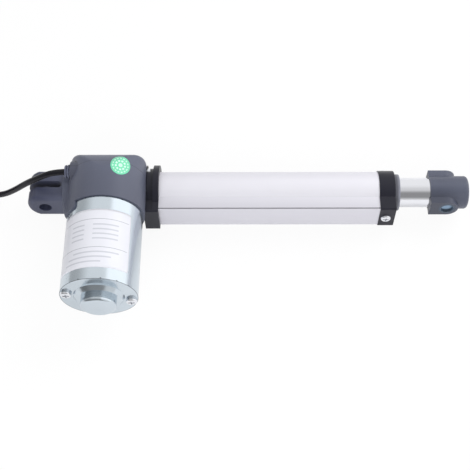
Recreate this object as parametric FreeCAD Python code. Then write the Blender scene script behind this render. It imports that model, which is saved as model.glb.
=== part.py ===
import FreeCAD, Part
import math
import os

# Electric linear actuator, in millimetres, drawn retracted.
# The origin is the middle of the rear pin hole. +X is the way the rod travels,
# the motor hangs off towards -Y, +Z is up, and both pins lie along Y.

os.makedirs("parts", exist_ok=True)

V = FreeCAD.Vector
X_AXIS = V(1, 0, 0)
Y_AXIS = V(0, 1, 0)
Z_AXIS = V(0, 0, 1)

# Overall
stroke = 150.0
pin_hole = 10.2

# Clearances
running_gap = 0.05  # radial, between a turning or sliding piece and its bearing
seat_gap = 0.02  # radial, between pieces that are pressed or screwed together
free_gap = 0.4  # between pieces that must never touch

# Rear clevis
ear_width = 28.0
fork_gap = 6.0
ear_height = 26.0
ear_reach = 14.4  # from the pin to the rounded end
fork_depth = 13.7  # from the pin to the bottom of the slot
clevis_root = 15.8  # from the pin to the gearbox
spigot_radius = 9.0
spigot_length = 6.5
spigot_collar = 3.0  # how far the collar stands out from the spigot
ear_edge = 4.0

# Gearbox
drum_wall = 8.0  # round the bearings
column_rear_gap = 5.2  # from the gearbox's rear face to the column
column_overhang = 2.0  # how far the column reaches over the socket
skirt_wall = 1.5  # round the motor
column_draft = 0.8  # how much less the radius is at the far end
column_far = 17.0  # how far the column reaches past the seam
column_round = 28.0  # radius of the far top, seen along the spindle
drum_edge = 1.5
skirt_reach = 33.0  # from the seam to the rim over the motor
skirt_depth = 8.0
wall = 2.5
motor_wall = 4.0
column_edge = 3.5
tab_length = 6.5
tab_from = 42.0  # degrees from the top of the motor
tab_to = 78.0
tab_corner = 3.0
shaft_hole_margin = 1.5  # radial, round the motor's hub
post_sunk = 2.0  # how far a post reaches into the wall behind it
bearing_lip = 3.0  # how far the walls reach in front of a bearing
front_lip = 1.0  # the same at the socket's side
bush_post_wall = 1.8
cover_screw_radius = 1.6
cover_screw_reach = 9.0  # past the seam, into the housing
cover_head_radius = 2.9
cover_head_height = 2.2
cover_cross_length = 1.7
cover_cross_width = 0.4
cover_cross_depth = 1.0
cover_post_radius = 3.6
cover_screw_inset = 11.0  # from the column's side
cover_screw_above = 6.0  # from the bearings
cover_screw_below = 4.0
cover_seat_top = 13.0
cover_seat_low = 8.5

# Worm gear
gear_module = 1.25
wheel_teeth = 21
wheel_width = 12.0
worm_pitch_radius = 4.875
pressure_angle = math.radians(20.0)
backlash = 0.3
thread_sunk = 0.3  # how far the thread reaches into the shaft
dish_rim = 1.6  # material left under the teeth
dish_hub = 0.6
dish_depth = 2.0
worm_turns = 4.0
worm_shoulder = 0.3  # plain shaft past each end of the thread
worm_bush_radius = 4.2
worm_bush_length = 4.8

# Spindle and its bearings
screw_radius = 7.0
journal_step = 1.0  # the journal is smaller than the screw
bearing_height = 8.0  # from the journal to the bearing's outside
bearing_width = 8.0
bearing_ring = 2.0
race_depth = 0.4  # of the balls' groove in each ring
ball_count = 7
rear_bearing_along = 10.0  # from the gearbox's rear face
front_wall_depth = 7.0  # between the front bearing and the socket
shoulder_step = 1.0  # the shoulder and the spacers are larger than the screw
guide_length = 4.0
guide_step = 2.5  # the screw's free end is smaller than the screw
shoulder_length = 3.0  # plain shoulder in front of the front bearing
screw_past_nut = 1.0

# Tube socket
socket_length = 11.7
socket_wall = 5.5  # round the tube's back
socket_front = 3.15  # in front of the tube's flat
socket_cheek = 1.8  # above and below the tube
socket_rim = 1.5
socket_recess = 5.5
socket_waist_wall = 2.8  # round the tube, inside the recess
socket_waist_margin = 0.5
socket_front_wall = 2.2
socket_screw_radius = 1.5
socket_head_radius = 2.5
socket_head_height = 2.2
socket_screw_inset_y = 12.1  # from the socket's radius
socket_screw_inset_z = 6.5
socket_screw_length = 5.0  # below the gearbox's face
socket_pad = 0.7  # height of the pad under each head
socket_pad_radius = 3.4
socket_key = 1.25
socket_edge = 1.2
tube_seat = 6.2
gasket_thickness = 0.8
gasket_inset = 0.2

# Outer tube
tube_wall = 2.0
tube_half_height = 12.0
channel_web = 1.5  # between the bore and the channel
channel_depth = 5.2
channel_wall = 1.75  # between the channel and the flat front
channel_side = 2.0  # above and below the channel
key_slot_half = 4.0
tube_edge = 0.5
tube_groove_from = 0.4  # from the flat front
tube_groove_width = 0.9
tube_groove_depth = 0.6

# End cap and guide
cap_length = 12.8
cap_wall = 3.0
cap_skin = 0.8
cap_screw_along = 5.3  # from the cap's rear edge
cap_screw_radius = 2.0
cap_head_radius = 4.0
cap_head_height = 1.9
cap_head_round = 1.33
cap_cross_length = 2.2
cap_cross_width = 0.5
cap_cross_depth = 1.0
cap_edge = 0.6
bush_lip = 4.2
bush_length = 24.5
bush_wall = 2.8  # between the rod and the tube's bore
bush_step = 0.4
wiper_depth = 1.4
wiper_wall = 1.4
wiper_lip = 1.0
wiper_set_back = 0.2

# Rod, nut and rod end
rod_wall = 2.0
rod_room = 3.0  # between the screw and the rod
exposed_rod = 24.5
nut_length = 14.0
nut_room = 0.3  # between the nut and the tube's bore
nut_spigot = 12.0
nut_start = 8.5  # past the mouth of the outer tube
nut_end_gap = 3.0  # between the nut and the bush when the rod is out
nut_key_root = 3.0  # how far the key reaches into the nut
head_wall = 1.3  # round the rod
head_back_reach = 14.0
head_front_reach = 17.2
boss_radius = 8.75
boss_half_width = 15.7
head_edge = 2.6
head_bush_wall = 1.8
head_socket = 4.0  # how deep the rod stands in the head
head_spigot = 12.0  # how far the head reaches back into the rod

# Motor
can_radius = 29.5
can_wall = 1.6
can_length = 77.4
front_plate = 2.6
bell_plate = 1.6
bell_rim = 10.0  # flat ring between the can and the step
bell_cone = 2.7  # how far the step narrows
bell_cone_height = 3.0
bell_ledge = 3.2  # between the step and the hub
bell_boss_height = 6.8
bell_round = 2.6
shaft_radius = 2.5
motor_bearing_radius = 8.0
motor_bearing_width = 5.0
motor_hub_wall = 1.4  # round the front bush
shaft_end_gap = 1.0
field_room = 6.5  # between the can and the armature
armature_length = 30.0
armature_slots = 7
slot_depth = 7.276  # from the armature's rim to the middle of a slot
tooth_half_width = 1.928174  # of the iron between two slots
mouth_depth = 6.42
mouth_half_width = 1.0
armature_from = 13.0  # behind the front plate
air_gap = 0.7
magnet_half_angle = 58.0
magnet_overhang = 3.0  # past each end of the armature
winding_overhang = 6.0
winding_inset = 2.5
winding_hub = 2.0
winding_round = 2.0
commutator_radius = 7.0
commutator_length = 11.0
commutator_gap = 1.0
slit_half_width = 0.3
slit_depth = 0.8
brush_width = 4.0
brush_length = 8.0
brush_plate = 1.6
brush_plate_gap = 1.0
brush_box_gap = 1.5  # between a box and the commutator
brush_box_wall = 1.0
brush_box_end = 1.2
brush_spring_length = 5.0
brush_spring_radius = 1.3
brush_spring_wire = 0.35
brush_spring_turns = 5
tie_bolt_inset = 4.9  # from the can's outside
tie_bolt_radius = 1.9
tie_bolt_turn = 13.0  # degrees off the spindle's direction
tie_head_radius = 4.4
tie_head_height = 2.6
tie_head_round = 1.56
tie_cross_length = 2.5
tie_cross_width = 0.6
tie_cross_depth = 1.1
tie_bolt_grip = 3.4  # how far the bolts screw into the gearbox
tie_hole_past = 0.5

# Limit switches
board_thickness = 1.2
board_margin = 5.0  # from each end of the tube
board_half_height = 8.0
switch_length = 9.0
switch_height = 2.6
switch_half_height = 3.4
switch_lead = 2.0  # how early each switch is met
switch_button_radius = 1.1
switch_button_sunk = 0.5

# Cable, gland and plug
cable_radius = 2.5
gland_height = 31.0
gland_nose = 6.5
gland_ribs = 3
gland_rib_share = 0.58  # of the pitch that is rib
gland_rib_depth = 1.2
gland_root_radius = 6.0
gland_tip_radius = 4.9
gland_neck = 5.0
gland_boss_radius = 8.2
gland_boss_length = 10.0
gland_boss_sunk = 3.0  # from the column's side
gland_boss_edge = 1.0
gland_seat = 2.0  # how deep the ribs stand in the boss
gland_inside = 8.0
coil_radius = 27.5
coil_turns_across = 3
coil_x = -105.0
coil_y = 26.0
coil_foot = 0.4  # the coil's outline, in cable radii from its corners
coil_side = 0.6
coil_top_inset = 1.3
coil_cheek = 1.5
bend_share = 0.45  # of the shorter run beside a bend
plug_length = 22.0
plug_width = 11.0
plug_height = 7.5
plug_round = 1.4
plug_sleeve_wall = 0.6
plug_sleeve_length = 6.0
plug_pin_radius = 1.0
plug_pin_length = 9.0

# Sizes that follow, from the screw outwards
journal_radius = screw_radius - journal_step
spacer_radius = screw_radius + shoulder_step
guide_journal = screw_radius - guide_step
bearing_outer = journal_radius + bearing_height
drum_radius = bearing_outer + drum_wall
rod_bore = screw_radius + rod_room
rod_radius = rod_bore + rod_wall
wiper_radius = rod_radius + wiper_wall
head_radius = rod_radius + head_wall
tube_bore = rod_radius + bush_wall
nut_radius = tube_bore - nut_room
tube_radius = tube_bore + tube_wall
channel_near = tube_bore + channel_web
channel_far = channel_near + channel_depth
channel_half_height = tube_half_height - channel_side
tube_face = channel_far + channel_wall
socket_radius = tube_radius + socket_wall
socket_face = tube_face + socket_front
socket_half_height = tube_half_height + socket_cheek
socket_waist = tube_radius + socket_waist_wall
socket_screw_y = socket_radius - socket_screw_inset_y
socket_screw_z = socket_radius - socket_screw_inset_z

# Sizes that follow, from the motor
column_radius = can_radius + skirt_wall
column_far_radius = column_radius - column_draft
cover_screw_spread = column_radius - cover_screw_inset
cover_screw_top = bearing_outer + cover_screw_above
cover_screw_low = -bearing_outer - cover_screw_below
tie_bolt_circle = can_radius - tie_bolt_inset
armature_radius = can_radius - can_wall - field_room
slot_circle = armature_radius - slot_depth
slot_radius = slot_circle * math.sin(math.pi / armature_slots) - tooth_half_width
bell_step_radius = can_radius - bell_rim
bell_cone_radius = bell_step_radius - bell_cone
bell_boss_radius = bell_cone_radius - bell_ledge

# Places along X
wheel_x = clevis_root + column_rear_gap + column_radius
gearbox_end = wheel_x + column_radius - column_overhang
front_bearing_from = gearbox_end - front_wall_depth - bearing_width
rear_bearing_from = clevis_root + rear_bearing_along
gland_boss_from = wheel_x - column_radius + gland_boss_sunk
socket_end = gearbox_end + socket_length
tube_start = socket_end - tube_seat
socket_seat = gearbox_end + socket_rim + socket_pad  # where the screw heads rest
nut_back = tube_start + nut_start
nut_shoulder = nut_back + nut_length
nut_front = nut_shoulder + nut_spigot
screw_end = nut_front + stroke + screw_past_nut
bush_front = nut_shoulder + stroke + nut_end_gap + bush_length
cap_front = bush_front - bush_lip
cap_back = cap_front - cap_length
tube_end = cap_front - cap_wall
head_back = bush_front + exposed_rod
head_x = head_back + head_back_reach
dead_length = head_x - stroke  # pin to pin when retracted, less the stroke

# Places of the gears
wheel_pitch_radius = gear_module * wheel_teeth / 2
motor_z = wheel_pitch_radius + worm_pitch_radius
worm_lead = math.pi * gear_module
addendum = gear_module
dedendum = 1.2 * gear_module
column_top = motor_z + column_radius
column_shoulder = column_top - column_round  # height of the far round's centre

# Places along the motor, measured towards -Y
can_front = skirt_reach - skirt_depth
can_back = can_front + can_length
bell_back = can_back + bell_plate
armature_front = can_front + front_plate + armature_from
armature_back = armature_front + armature_length
commutator_front = armature_back + winding_overhang + commutator_gap
commutator_back = commutator_front + commutator_length
bell_top = bell_back + bell_cone_height + bell_boss_height
floor_z = -socket_radius

# The cable's route: out of the gland, over the clevis and down to the floor
lying_z = floor_z + cable_radius
cable_route = [
    V(27.0, 0.0, 31.0),
    V(11.0, 0.0, 31.0),
    V(-3.0, 0.5, 21.8),
    V(-15.5, 2.0, 11.2),
    V(-28.0, 4.8, -3.2),
    V(-40.5, 8.3, -15.8),
    V(-56.0, 10.5, lying_z),
    V(-73.0, 6.0, lying_z),
    V(-90.0, -4.5, lying_z),
    V(-106.0, -6.5, lying_z),
]
tail_route = [
    V(-106.0, 57.5, lying_z + 3.4),
    V(-97.0, 60.0, floor_z + plug_height / 2),
    V(-89.0, 61.0, floor_z + plug_height / 2),
]


def along_x(radius, x0, x1, y=0.0, z=0.0):
    return Part.makeCylinder(radius, x1 - x0, V(x0, y, z), X_AXIS)


def along_y(radius, y0, y1, x=wheel_x, z=motor_z):
    return Part.makeCylinder(radius, y1 - y0, V(x, y0, z), Y_AXIS)


def block(x0, x1, y0, y1, z0, z1):
    return Part.makeBox(x1 - x0, y1 - y0, z1 - z0, V(x0, y0, z0))


def ring_x(outer, inner, x0, x1):
    return along_x(outer, x0, x1).cut(along_x(inner, x0 - 1, x1 + 1))


def ring_y(outer, inner, y0, y1):
    return along_y(outer, y0, y1).cut(along_y(inner, y0 - 1, y1 + 1))


def turned_about_motor(points):
    """A solid of revolution from (radius, distance towards the motor's end) points."""
    corners = [V(wheel_x + r, -d, motor_z) for r, d in points]
    face = Part.Face(Part.makePolygon(corners + corners[:1]))
    return face.revolve(V(wheel_x, 0, motor_z), Y_AXIS, 360)


def soften(shape, radius, wanted):
    """Rounds the edges that the test picks."""
    edges = [e for e in shape.Edges if wanted(e)]
    return shape.makeFillet(radius, edges)


def save(name, shape):
    shape.exportStep("parts/" + name + ".step")
    print(name, len(shape.Solids), round(shape.Volume, 1))


def d_section(radius, face, half_height, x):
    """The extrusion's outline: a round back joined to a flat front."""
    side = math.sqrt(radius ** 2 - half_height ** 2)
    start = V(x, -side, half_height)
    end = V(x, -side, -half_height)
    back = Part.Arc(start, V(x, radius, 0), end).toShape()
    flat = Part.makePolygon([end, V(x, -face, -half_height), V(x, -face, half_height), start])
    return Part.Face(Part.Wire(back.Edges + flat.Edges))


def d_bar(radius, face, half_height, x0, x1):
    return d_section(radius, face, half_height, x0).extrude(V(x1 - x0, 0, 0))


def is_front_corner(edge, length, face):
    """True for the long edges on either side of the flat front."""
    box = edge.BoundBox
    return box.XLength > length - 0.1 and box.YMin < -face + 0.1


def rear_clevis():
    """Two ears on a solid root, with a spigot that the gearbox halves clamp."""
    half = ear_height / 2
    corner = math.sqrt(ear_reach ** 2 - half ** 2)
    width = V(0, ear_width, 0)
    y = -ear_width / 2
    nose = Part.Arc(V(-corner, y, half), V(-ear_reach, y, 0), V(-corner, y, -half)).toShape()
    sides = Part.makePolygon([
        V(-corner, y, -half),
        V(clevis_root, y, -half),
        V(clevis_root, y, half),
        V(-corner, y, half),
    ])
    body = Part.Face(Part.Wire(nose.Edges + sides.Edges)).extrude(width)
    body = soften(body, ear_edge, lambda e: outer_side_edge(e, ear_width / 2, clevis_root))
    slot = block(-ear_reach - 1, fork_depth - fork_gap / 2, -fork_gap / 2, fork_gap / 2, -half - 1, half + 1)
    slot_end = Part.makeCylinder(
        fork_gap / 2, ear_height + 2, V(fork_depth - fork_gap / 2, 0, -half - 1), Z_AXIS
    )
    pin = Part.makeCylinder(pin_hole / 2, ear_width + 2, V(0, -ear_width / 2 - 1, 0), Y_AXIS)
    spigot = along_x(spigot_radius, clevis_root, clevis_root + spigot_length)
    collar_start = clevis_root + wall + seat_gap
    collar = along_x(spigot_radius + spigot_collar, collar_start, clevis_root + spigot_length)
    return body.fuse([spigot, collar]).cut([slot, slot_end, pin]).removeSplitter()


def outer_side_edge(edge, side, root):
    """True for edges that lie on an ear's outer side, away from the gearbox."""
    box = edge.BoundBox
    flat = box.YLength < 0.01 and abs(abs(box.YMin) - side) < 0.01
    return flat and box.XMin < root - 0.01


def gearbox_form(inset):
    """The gearbox's outer shape, or the same shape with its walls moved inwards."""
    drum = along_x(drum_radius - inset, clevis_root + inset, gearbox_end - inset)
    drum = soften(drum, drum_edge, lambda e: e.BoundBox.XMax < clevis_root + inset + 0.01)
    column = Part.makeCone(
        column_radius - inset,
        column_far_radius - inset,
        skirt_reach + column_far - inset,
        V(wheel_x, -skirt_reach, motor_z),
        Y_AXIS,
    )
    centre_y = column_far - column_round
    radius = column_round - inset
    diagonal = radius * math.sqrt(0.5)
    x = wheel_x - column_radius - 1
    low = motor_z - column_radius - 1
    crown = Part.Arc(
        V(x, centre_y, column_shoulder + radius),
        V(x, centre_y + diagonal, column_shoulder + diagonal),
        V(x, centre_y + radius, column_shoulder),
    ).toShape()
    rest = Part.makePolygon([
        V(x, column_far - inset, column_shoulder),
        V(x, column_far - inset, low),
        V(x, -skirt_reach - 1, low),
        V(x, -skirt_reach - 1, column_shoulder + radius),
        V(x, centre_y, column_shoulder + radius),
    ])
    profile = Part.Face(Part.Wire(crown.Edges + rest.Edges))
    column = column.common(profile.extrude(V(2 * column_radius + 2, 0, 0)))
    column = soften(column, column_edge, lambda e: e.BoundBox.YMax > 0 and not is_straight(e))
    return drum.fuse(column).removeSplitter()


def is_straight(edge):
    return edge.Curve.TypeId == "Part::GeomLine"


def bearing_walls():
    """The walls inside the gearbox that carry the spindle's two bearings."""
    reach = column_radius
    rear = block(clevis_root, rear_bearing_from + bearing_width, -reach, reach, -reach, reach)
    front = block(front_bearing_from, gearbox_end, -reach, reach, -reach, reach)
    return rear.fuse(front).common(along_x(drum_radius, clevis_root, gearbox_end))


def gearbox_shell():
    """Both halves together: the shell, its inner walls and every bore."""
    outer = gearbox_form(0.0)
    room = gearbox_form(wall).common(
        block(clevis_root, gearbox_end, -can_front + motor_wall, column_far, -drum_radius, column_top)
    )
    room = room.cut(bearing_walls())
    shell = outer.cut(room)
    shell = shell.fuse(gland_boss()).cut(gland_boss_room())
    skirt_room = along_y(can_radius + seat_gap, -skirt_reach - 1, -can_front)
    shaft_room_radius = motor_bearing_radius + shaft_hole_margin
    shaft_room = along_y(shaft_room_radius, -can_front - 1, -can_front + motor_wall + 1)
    rear_from = rear_bearing_from
    front_from = front_bearing_from
    collar_radius = spigot_radius + spigot_collar + seat_gap
    bores = [
        skirt_room,
        shaft_room,
        along_x(spigot_radius + seat_gap, clevis_root - 1, clevis_root + spigot_length),
        along_x(collar_radius, clevis_root + wall, clevis_root + spigot_length + seat_gap),
        along_x(bearing_outer - bearing_lip, clevis_root + spigot_length, gearbox_end + 1),
        along_x(bearing_outer + seat_gap, rear_from, rear_from + bearing_width + 1),
        along_x(bearing_outer + seat_gap, front_from, front_from + bearing_width),
        along_x(bearing_outer - front_lip, front_from + 1, gearbox_end + 1),
    ]
    shell = shell.cut(bores)
    shell = shell.fuse([worm_bush_post(), skirt_tab()] + cover_posts())
    holes = socket_screw_holes() + cover_screw_holes() + tie_bolt_holes()
    return shell.cut([worm_bush_bore()] + holes).removeSplitter()


def worm_bush_post():
    """The post in the cover that holds the bush at the worm's far end."""
    start = column_far - wall - worm_bush_length
    return along_y(worm_bush_radius + bush_post_wall, start, column_far - wall + post_sunk)


def worm_bush_bore():
    inner = column_far - wall
    return along_y(worm_bush_radius + seat_gap, inner - worm_bush_length - 1, inner)


def worm_bush():
    """The sintered bush at the worm's far end."""
    inner = column_far - wall
    return ring_y(worm_bush_radius, shaft_radius + running_gap, inner - worm_bush_length, inner)


def tie_bolt_places():
    """(X, Z) of the two long bolts through the motor."""
    turn = math.radians(tie_bolt_turn)
    along = tie_bolt_circle * math.cos(turn)
    up = tie_bolt_circle * math.sin(turn)
    return [(wheel_x - along, motor_z + up), (wheel_x + along, motor_z - up)]


def tie_bolt_holes():
    return [
        along_y(tie_bolt_radius + seat_gap, -can_front - 1, -can_front + tie_bolt_grip + tie_hole_past, x, z)
        for x, z in tie_bolt_places()
    ]


def skirt_tab():
    """The tongue that runs on from the skirt over the motor's wires."""
    inner = can_radius + seat_gap
    band = along_y(column_radius, -skirt_reach - tab_length, -skirt_reach + 0.5).cut(
        along_y(inner, -skirt_reach - tab_length - 1, -skirt_reach + 1)
    )
    reach = 2 * column_radius
    first = math.radians(tab_from)
    last = math.radians(tab_to)
    y = -skirt_reach - tab_length - 1
    wedge = Part.Face(Part.makePolygon([
        V(wheel_x, y, motor_z),
        V(wheel_x - reach * math.sin(first), y, motor_z + reach * math.cos(first)),
        V(wheel_x - reach * math.sin(last), y, motor_z + reach * math.cos(last)),
        V(wheel_x, y, motor_z),
    ])).extrude(V(0, tab_length + 3, 0))
    tab = band.common(wedge)
    tip = -skirt_reach - tab_length
    corners = [
        e for e in tab.Edges
        if abs(e.BoundBox.YMin - tip) < 0.01 and e.BoundBox.YLength < 0.01 and e.Length < skirt_wall + 0.1
    ]
    return tab.makeFillet(tab_corner, corners)


def gland_boss():
    boss = along_x(gland_boss_radius, gland_boss_from, gland_boss_from + gland_boss_length, 0.0, gland_height)
    return soften(boss, gland_boss_edge, lambda e: e.BoundBox.XMax < gland_boss_from + 0.01)


def gland_boss_room():
    """The sunk seat for the gland's ribs, and the hole behind it."""
    seat = gland_boss_from + gland_seat
    boss_end = gland_boss_from + gland_boss_length
    sunk = along_x(gland_root_radius + free_gap, gland_boss_from - gland_nose, seat, 0.0, gland_height)
    hole = along_x(gland_neck + seat_gap, seat - 1, boss_end + 1, 0.0, gland_height)
    return sunk.fuse(hole)


def cover_screw_places():
    """(X, Z, Y of the head's seat) of the screws that hold the two halves together."""
    return [
        (wheel_x + side * cover_screw_spread, z, seat)
        for side in (-1, 1)
        for z, seat in ((cover_screw_top, cover_seat_top), (cover_screw_low, cover_seat_low))
    ]


def cover_posts():
    """The posts that the two upper screws run through."""
    return [
        along_y(cover_post_radius, -cover_screw_reach - 2, seat + 1, x, z)
        for x, z, seat in cover_screw_places()
        if z > 0
    ]


def cover_screw_holes():
    holes = []
    for x, z, seat in cover_screw_places():
        holes.append(along_y(cover_screw_radius + seat_gap, -cover_screw_reach - 1, seat + 1, x, z))
        holes.append(along_y(cover_head_radius + free_gap, seat, column_far + drum_radius, x, z))
    return holes


def cross_arms(length, width):
    """Half sizes of the two arms of a cross recess."""
    return [(length, width), (width, length)]


def cover_screws():
    """Four screws, put in from the far side."""
    screws = []
    for x, z, seat in cover_screw_places():
        top = seat + cover_head_height
        shank = along_y(cover_screw_radius, -cover_screw_reach, seat, x, z)
        head = along_y(cover_head_radius, seat, top, x, z)
        cross = [
            block(x - a, x + a, top - cover_cross_depth, top + 1, z - b, z + b)
            for a, b in cross_arms(cover_cross_length, cover_cross_width)
        ]
        screws.append(shank.fuse(head).cut(cross))
    return Part.makeCompound(screws)


def socket_screw_places():
    """(Y, Z) of the three screws that hold the tube socket."""
    return [
        (socket_screw_y, socket_screw_z),
        (socket_screw_y, -socket_screw_z),
        (-socket_screw_y, -socket_screw_z),
    ]


def socket_screw_holes():
    from_x = gearbox_end - socket_screw_length - 1
    return [
        along_x(socket_screw_radius + seat_gap, from_x, socket_seat, y, z)
        for y, z in socket_screw_places()
    ]


def seam_side(side):
    """A block that holds all of the gearbox on one side of the seam."""
    reach = 2 * (gearbox_end + skirt_reach)
    y0, y1 = sorted((0.0, side * reach))
    return block(-reach, reach, y0, y1, -reach, reach)


def gearbox_housing():
    """The half that carries the motor."""
    return gearbox_shell().common(seam_side(-1))


def gearbox_cover():
    """The half beyond the seam."""
    return gearbox_shell().common(seam_side(1))


def tube_socket():
    """The black block that the outer tube plugs into."""
    outer = d_bar(socket_radius, socket_face, socket_half_height, gearbox_end, socket_end)
    body = soften(outer, socket_edge, lambda e: is_front_corner(e, socket_length, socket_face))
    recess = block(
        gearbox_end + socket_rim,
        gearbox_end + socket_rim + socket_recess,
        -socket_face + socket_front_wall,
        socket_radius + 1,
        -socket_radius - 1,
        socket_radius + 1,
    )
    core_half = tube_half_height + socket_waist_margin
    core = d_bar(socket_waist, socket_face, core_half, gearbox_end, socket_end)
    body = body.cut(recess.cut(core))
    tube_room = d_bar(
        tube_radius + seat_gap,
        tube_face + seat_gap,
        tube_half_height + seat_gap,
        tube_start - gasket_thickness,
        socket_end + 1,
    )
    bore = along_x(bearing_outer - front_lip, gearbox_end - 1, socket_end)
    pads = [
        along_x(socket_pad_radius, gearbox_end, socket_seat, y, z)
        for y, z in socket_screw_places()
    ]
    holes = [
        along_x(socket_screw_radius + seat_gap, gearbox_end - 1, socket_seat + 1, y, z)
        for y, z in socket_screw_places()
    ]
    heads = [
        along_x(socket_head_radius + free_gap, socket_seat, tube_start - gasket_thickness, y, z)
        for y, z in socket_screw_places()
    ]
    column_room = along_y(column_radius + seat_gap, -3 * socket_face, 3 * socket_face)
    body = body.fuse(pads).common(outer)
    return body.cut([tube_room, bore, column_room] + heads + holes)


def socket_screws():
    """Three cap screws from the socket into the gearbox."""
    screws = []
    top = socket_seat + socket_head_height
    for y, z in socket_screw_places():
        shank = along_x(socket_screw_radius, gearbox_end - socket_screw_length, socket_seat, y, z)
        head = along_x(socket_head_radius, socket_seat, top, y, z)
        key = hexagon_x(socket_key, top - socket_key, top + 1, y, z)
        screws.append(shank.fuse(head).cut(key))
    return Part.makeCompound(screws)


def hexagon_x(radius, x0, x1, y, z):
    """A six-sided key socket along X."""
    corners = [
        V(x0, y + radius * math.cos(math.radians(60 * k)), z + radius * math.sin(math.radians(60 * k)))
        for k in range(7)
    ]
    return Part.Face(Part.makePolygon(corners)).extrude(V(x1 - x0, 0, 0))


def outer_tube():
    """The aluminium extrusion: round bore, and a side channel for the switches."""
    bar = d_bar(tube_radius, tube_face, tube_half_height, tube_start, tube_end)
    length = tube_end - tube_start
    bar = soften(bar, tube_edge, lambda e: is_front_corner(e, length, tube_face))
    bore = along_x(tube_bore, tube_start - 1, tube_end + 1)
    channel = block(
        tube_start - 1, tube_end + 1, -channel_far, -channel_near, -channel_half_height, channel_half_height
    )
    slot_top = -tube_bore + key_slot_half
    slot = block(tube_start - 1, tube_end + 1, -channel_near - 1, slot_top, -key_slot_half, key_slot_half)
    groove_y = -tube_face + tube_groove_from
    grooves = [
        block(
            tube_start - 1, tube_end + 1, groove_y, groove_y + tube_groove_width,
            z - tube_groove_depth, z + tube_groove_depth,
        )
        for z in (-tube_half_height, tube_half_height)
    ]
    return bar.cut([bore, channel, slot] + grooves + cap_screw_holes())


def tube_gasket():
    """A flat seal between the socket and the end of the tube."""
    back = tube_start - gasket_thickness
    inset = gasket_inset
    flat = d_bar(tube_radius - inset, tube_face - inset, tube_half_height - inset, back, tube_start)
    return flat.cut(along_x(tube_bore, back - 1, tube_start + 1))


def cap_screw_holes():
    x = cap_back + cap_screw_along
    radius = cap_screw_radius + seat_gap
    return [
        along_y(radius, -tube_face - cap_skin - 1, -channel_far + 1, x, 0.0),
        along_y(radius, tube_bore - cap_screw_radius, tube_radius + cap_skin + 1, x, 0.0),
    ]


def end_cap():
    """The black sleeve and end wall that close the outer tube."""
    grown = cap_skin
    body = d_bar(tube_radius + grown, tube_face + grown, tube_half_height + grown, cap_back, cap_front)
    body = soften(body, tube_edge + grown, lambda e: is_front_corner(e, cap_length, tube_face + grown))
    body = soften(body, cap_edge, lambda e: e.BoundBox.XMin > cap_front - 0.01)
    room = d_bar(
        tube_radius + seat_gap, tube_face + seat_gap, tube_half_height + seat_gap, cap_back - 1, tube_end
    )
    mouth = along_x(tube_bore + seat_gap, tube_end - 1, cap_front + 1)
    return body.cut([room, mouth] + cap_screw_holes())


def end_cap_screws():
    """Two pan-head screws, one through each side of the cap."""
    x = cap_back + cap_screw_along
    front = -tube_face - cap_skin
    back = tube_radius + cap_skin
    near = pan_head_screw(V(x, front, 0), V(0, -1, 0), cap_skin + tube_face - channel_far)
    far = pan_head_screw(V(x, back, 0), V(0, 1, 0), cap_skin + tube_radius - tube_bore)
    return Part.makeCompound([near, far])


def pan_head_screw(seat, outwards, grip):
    """A cross-recessed screw: the head stands outwards from the seat."""
    shank = Part.makeCylinder(cap_screw_radius, grip, seat - outwards * grip, outwards)
    head = Part.makeCylinder(cap_head_radius, cap_head_height, seat, outwards)
    top = seat + outwards * cap_head_height
    rims = [e for e in head.Edges if abs((e.CenterOfMass - top).dot(outwards)) < 0.01]
    head = head.makeFillet(cap_head_round, rims)
    screw = shank.fuse(head)
    across = X_AXIS
    up = outwards.cross(across)
    for length, breadth in ((across, up), (up, across)):
        corner = top - length * cap_cross_length - breadth * cap_cross_width - outwards * cap_cross_depth
        arm = Part.Face(Part.makePolygon([
            corner,
            corner + length * 2 * cap_cross_length,
            corner + length * 2 * cap_cross_length + breadth * 2 * cap_cross_width,
            corner + breadth * 2 * cap_cross_width,
            corner,
        ])).extrude(outwards * 2 * cap_cross_depth)
        screw = screw.cut(arm)
    return screw


def guide_bush():
    """The plastic bush that steadies the rod, with a lip in front of the cap."""
    back = bush_front - bush_length
    body = along_x(tube_bore - seat_gap, back, bush_front)
    body = soften(body, bush_step, lambda e: e.BoundBox.XMin > bush_front - 0.01)
    bore = along_x(rod_radius + running_gap, back - 1, bush_front + 1)
    wiper_room = along_x(wiper_radius + seat_gap, bush_front - wiper_depth, bush_front + 1)
    return body.cut([bore, wiper_room])


def wiper_seal():
    """The rubber ring that wipes the rod."""
    start = bush_front - wiper_depth
    ring = along_x(wiper_radius, start, bush_front - wiper_set_back)
    inner = rod_radius + 2 * running_gap
    lip = Part.makeCone(inner, rod_radius + wiper_lip, wiper_depth, V(start, 0, 0), X_AXIS)
    return ring.cut([lip, along_x(inner, start - 1, bush_front + 1)])


def rod():
    """The chromed tube that slides out."""
    return ring_x(rod_radius, rod_bore, nut_shoulder, head_back + head_socket)


def head_cross_hole():
    radius = pin_hole / 2 + head_bush_wall
    return Part.makeCylinder(radius, 4 * boss_half_width, V(head_x, -2 * boss_half_width, 0), Y_AXIS)


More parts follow.
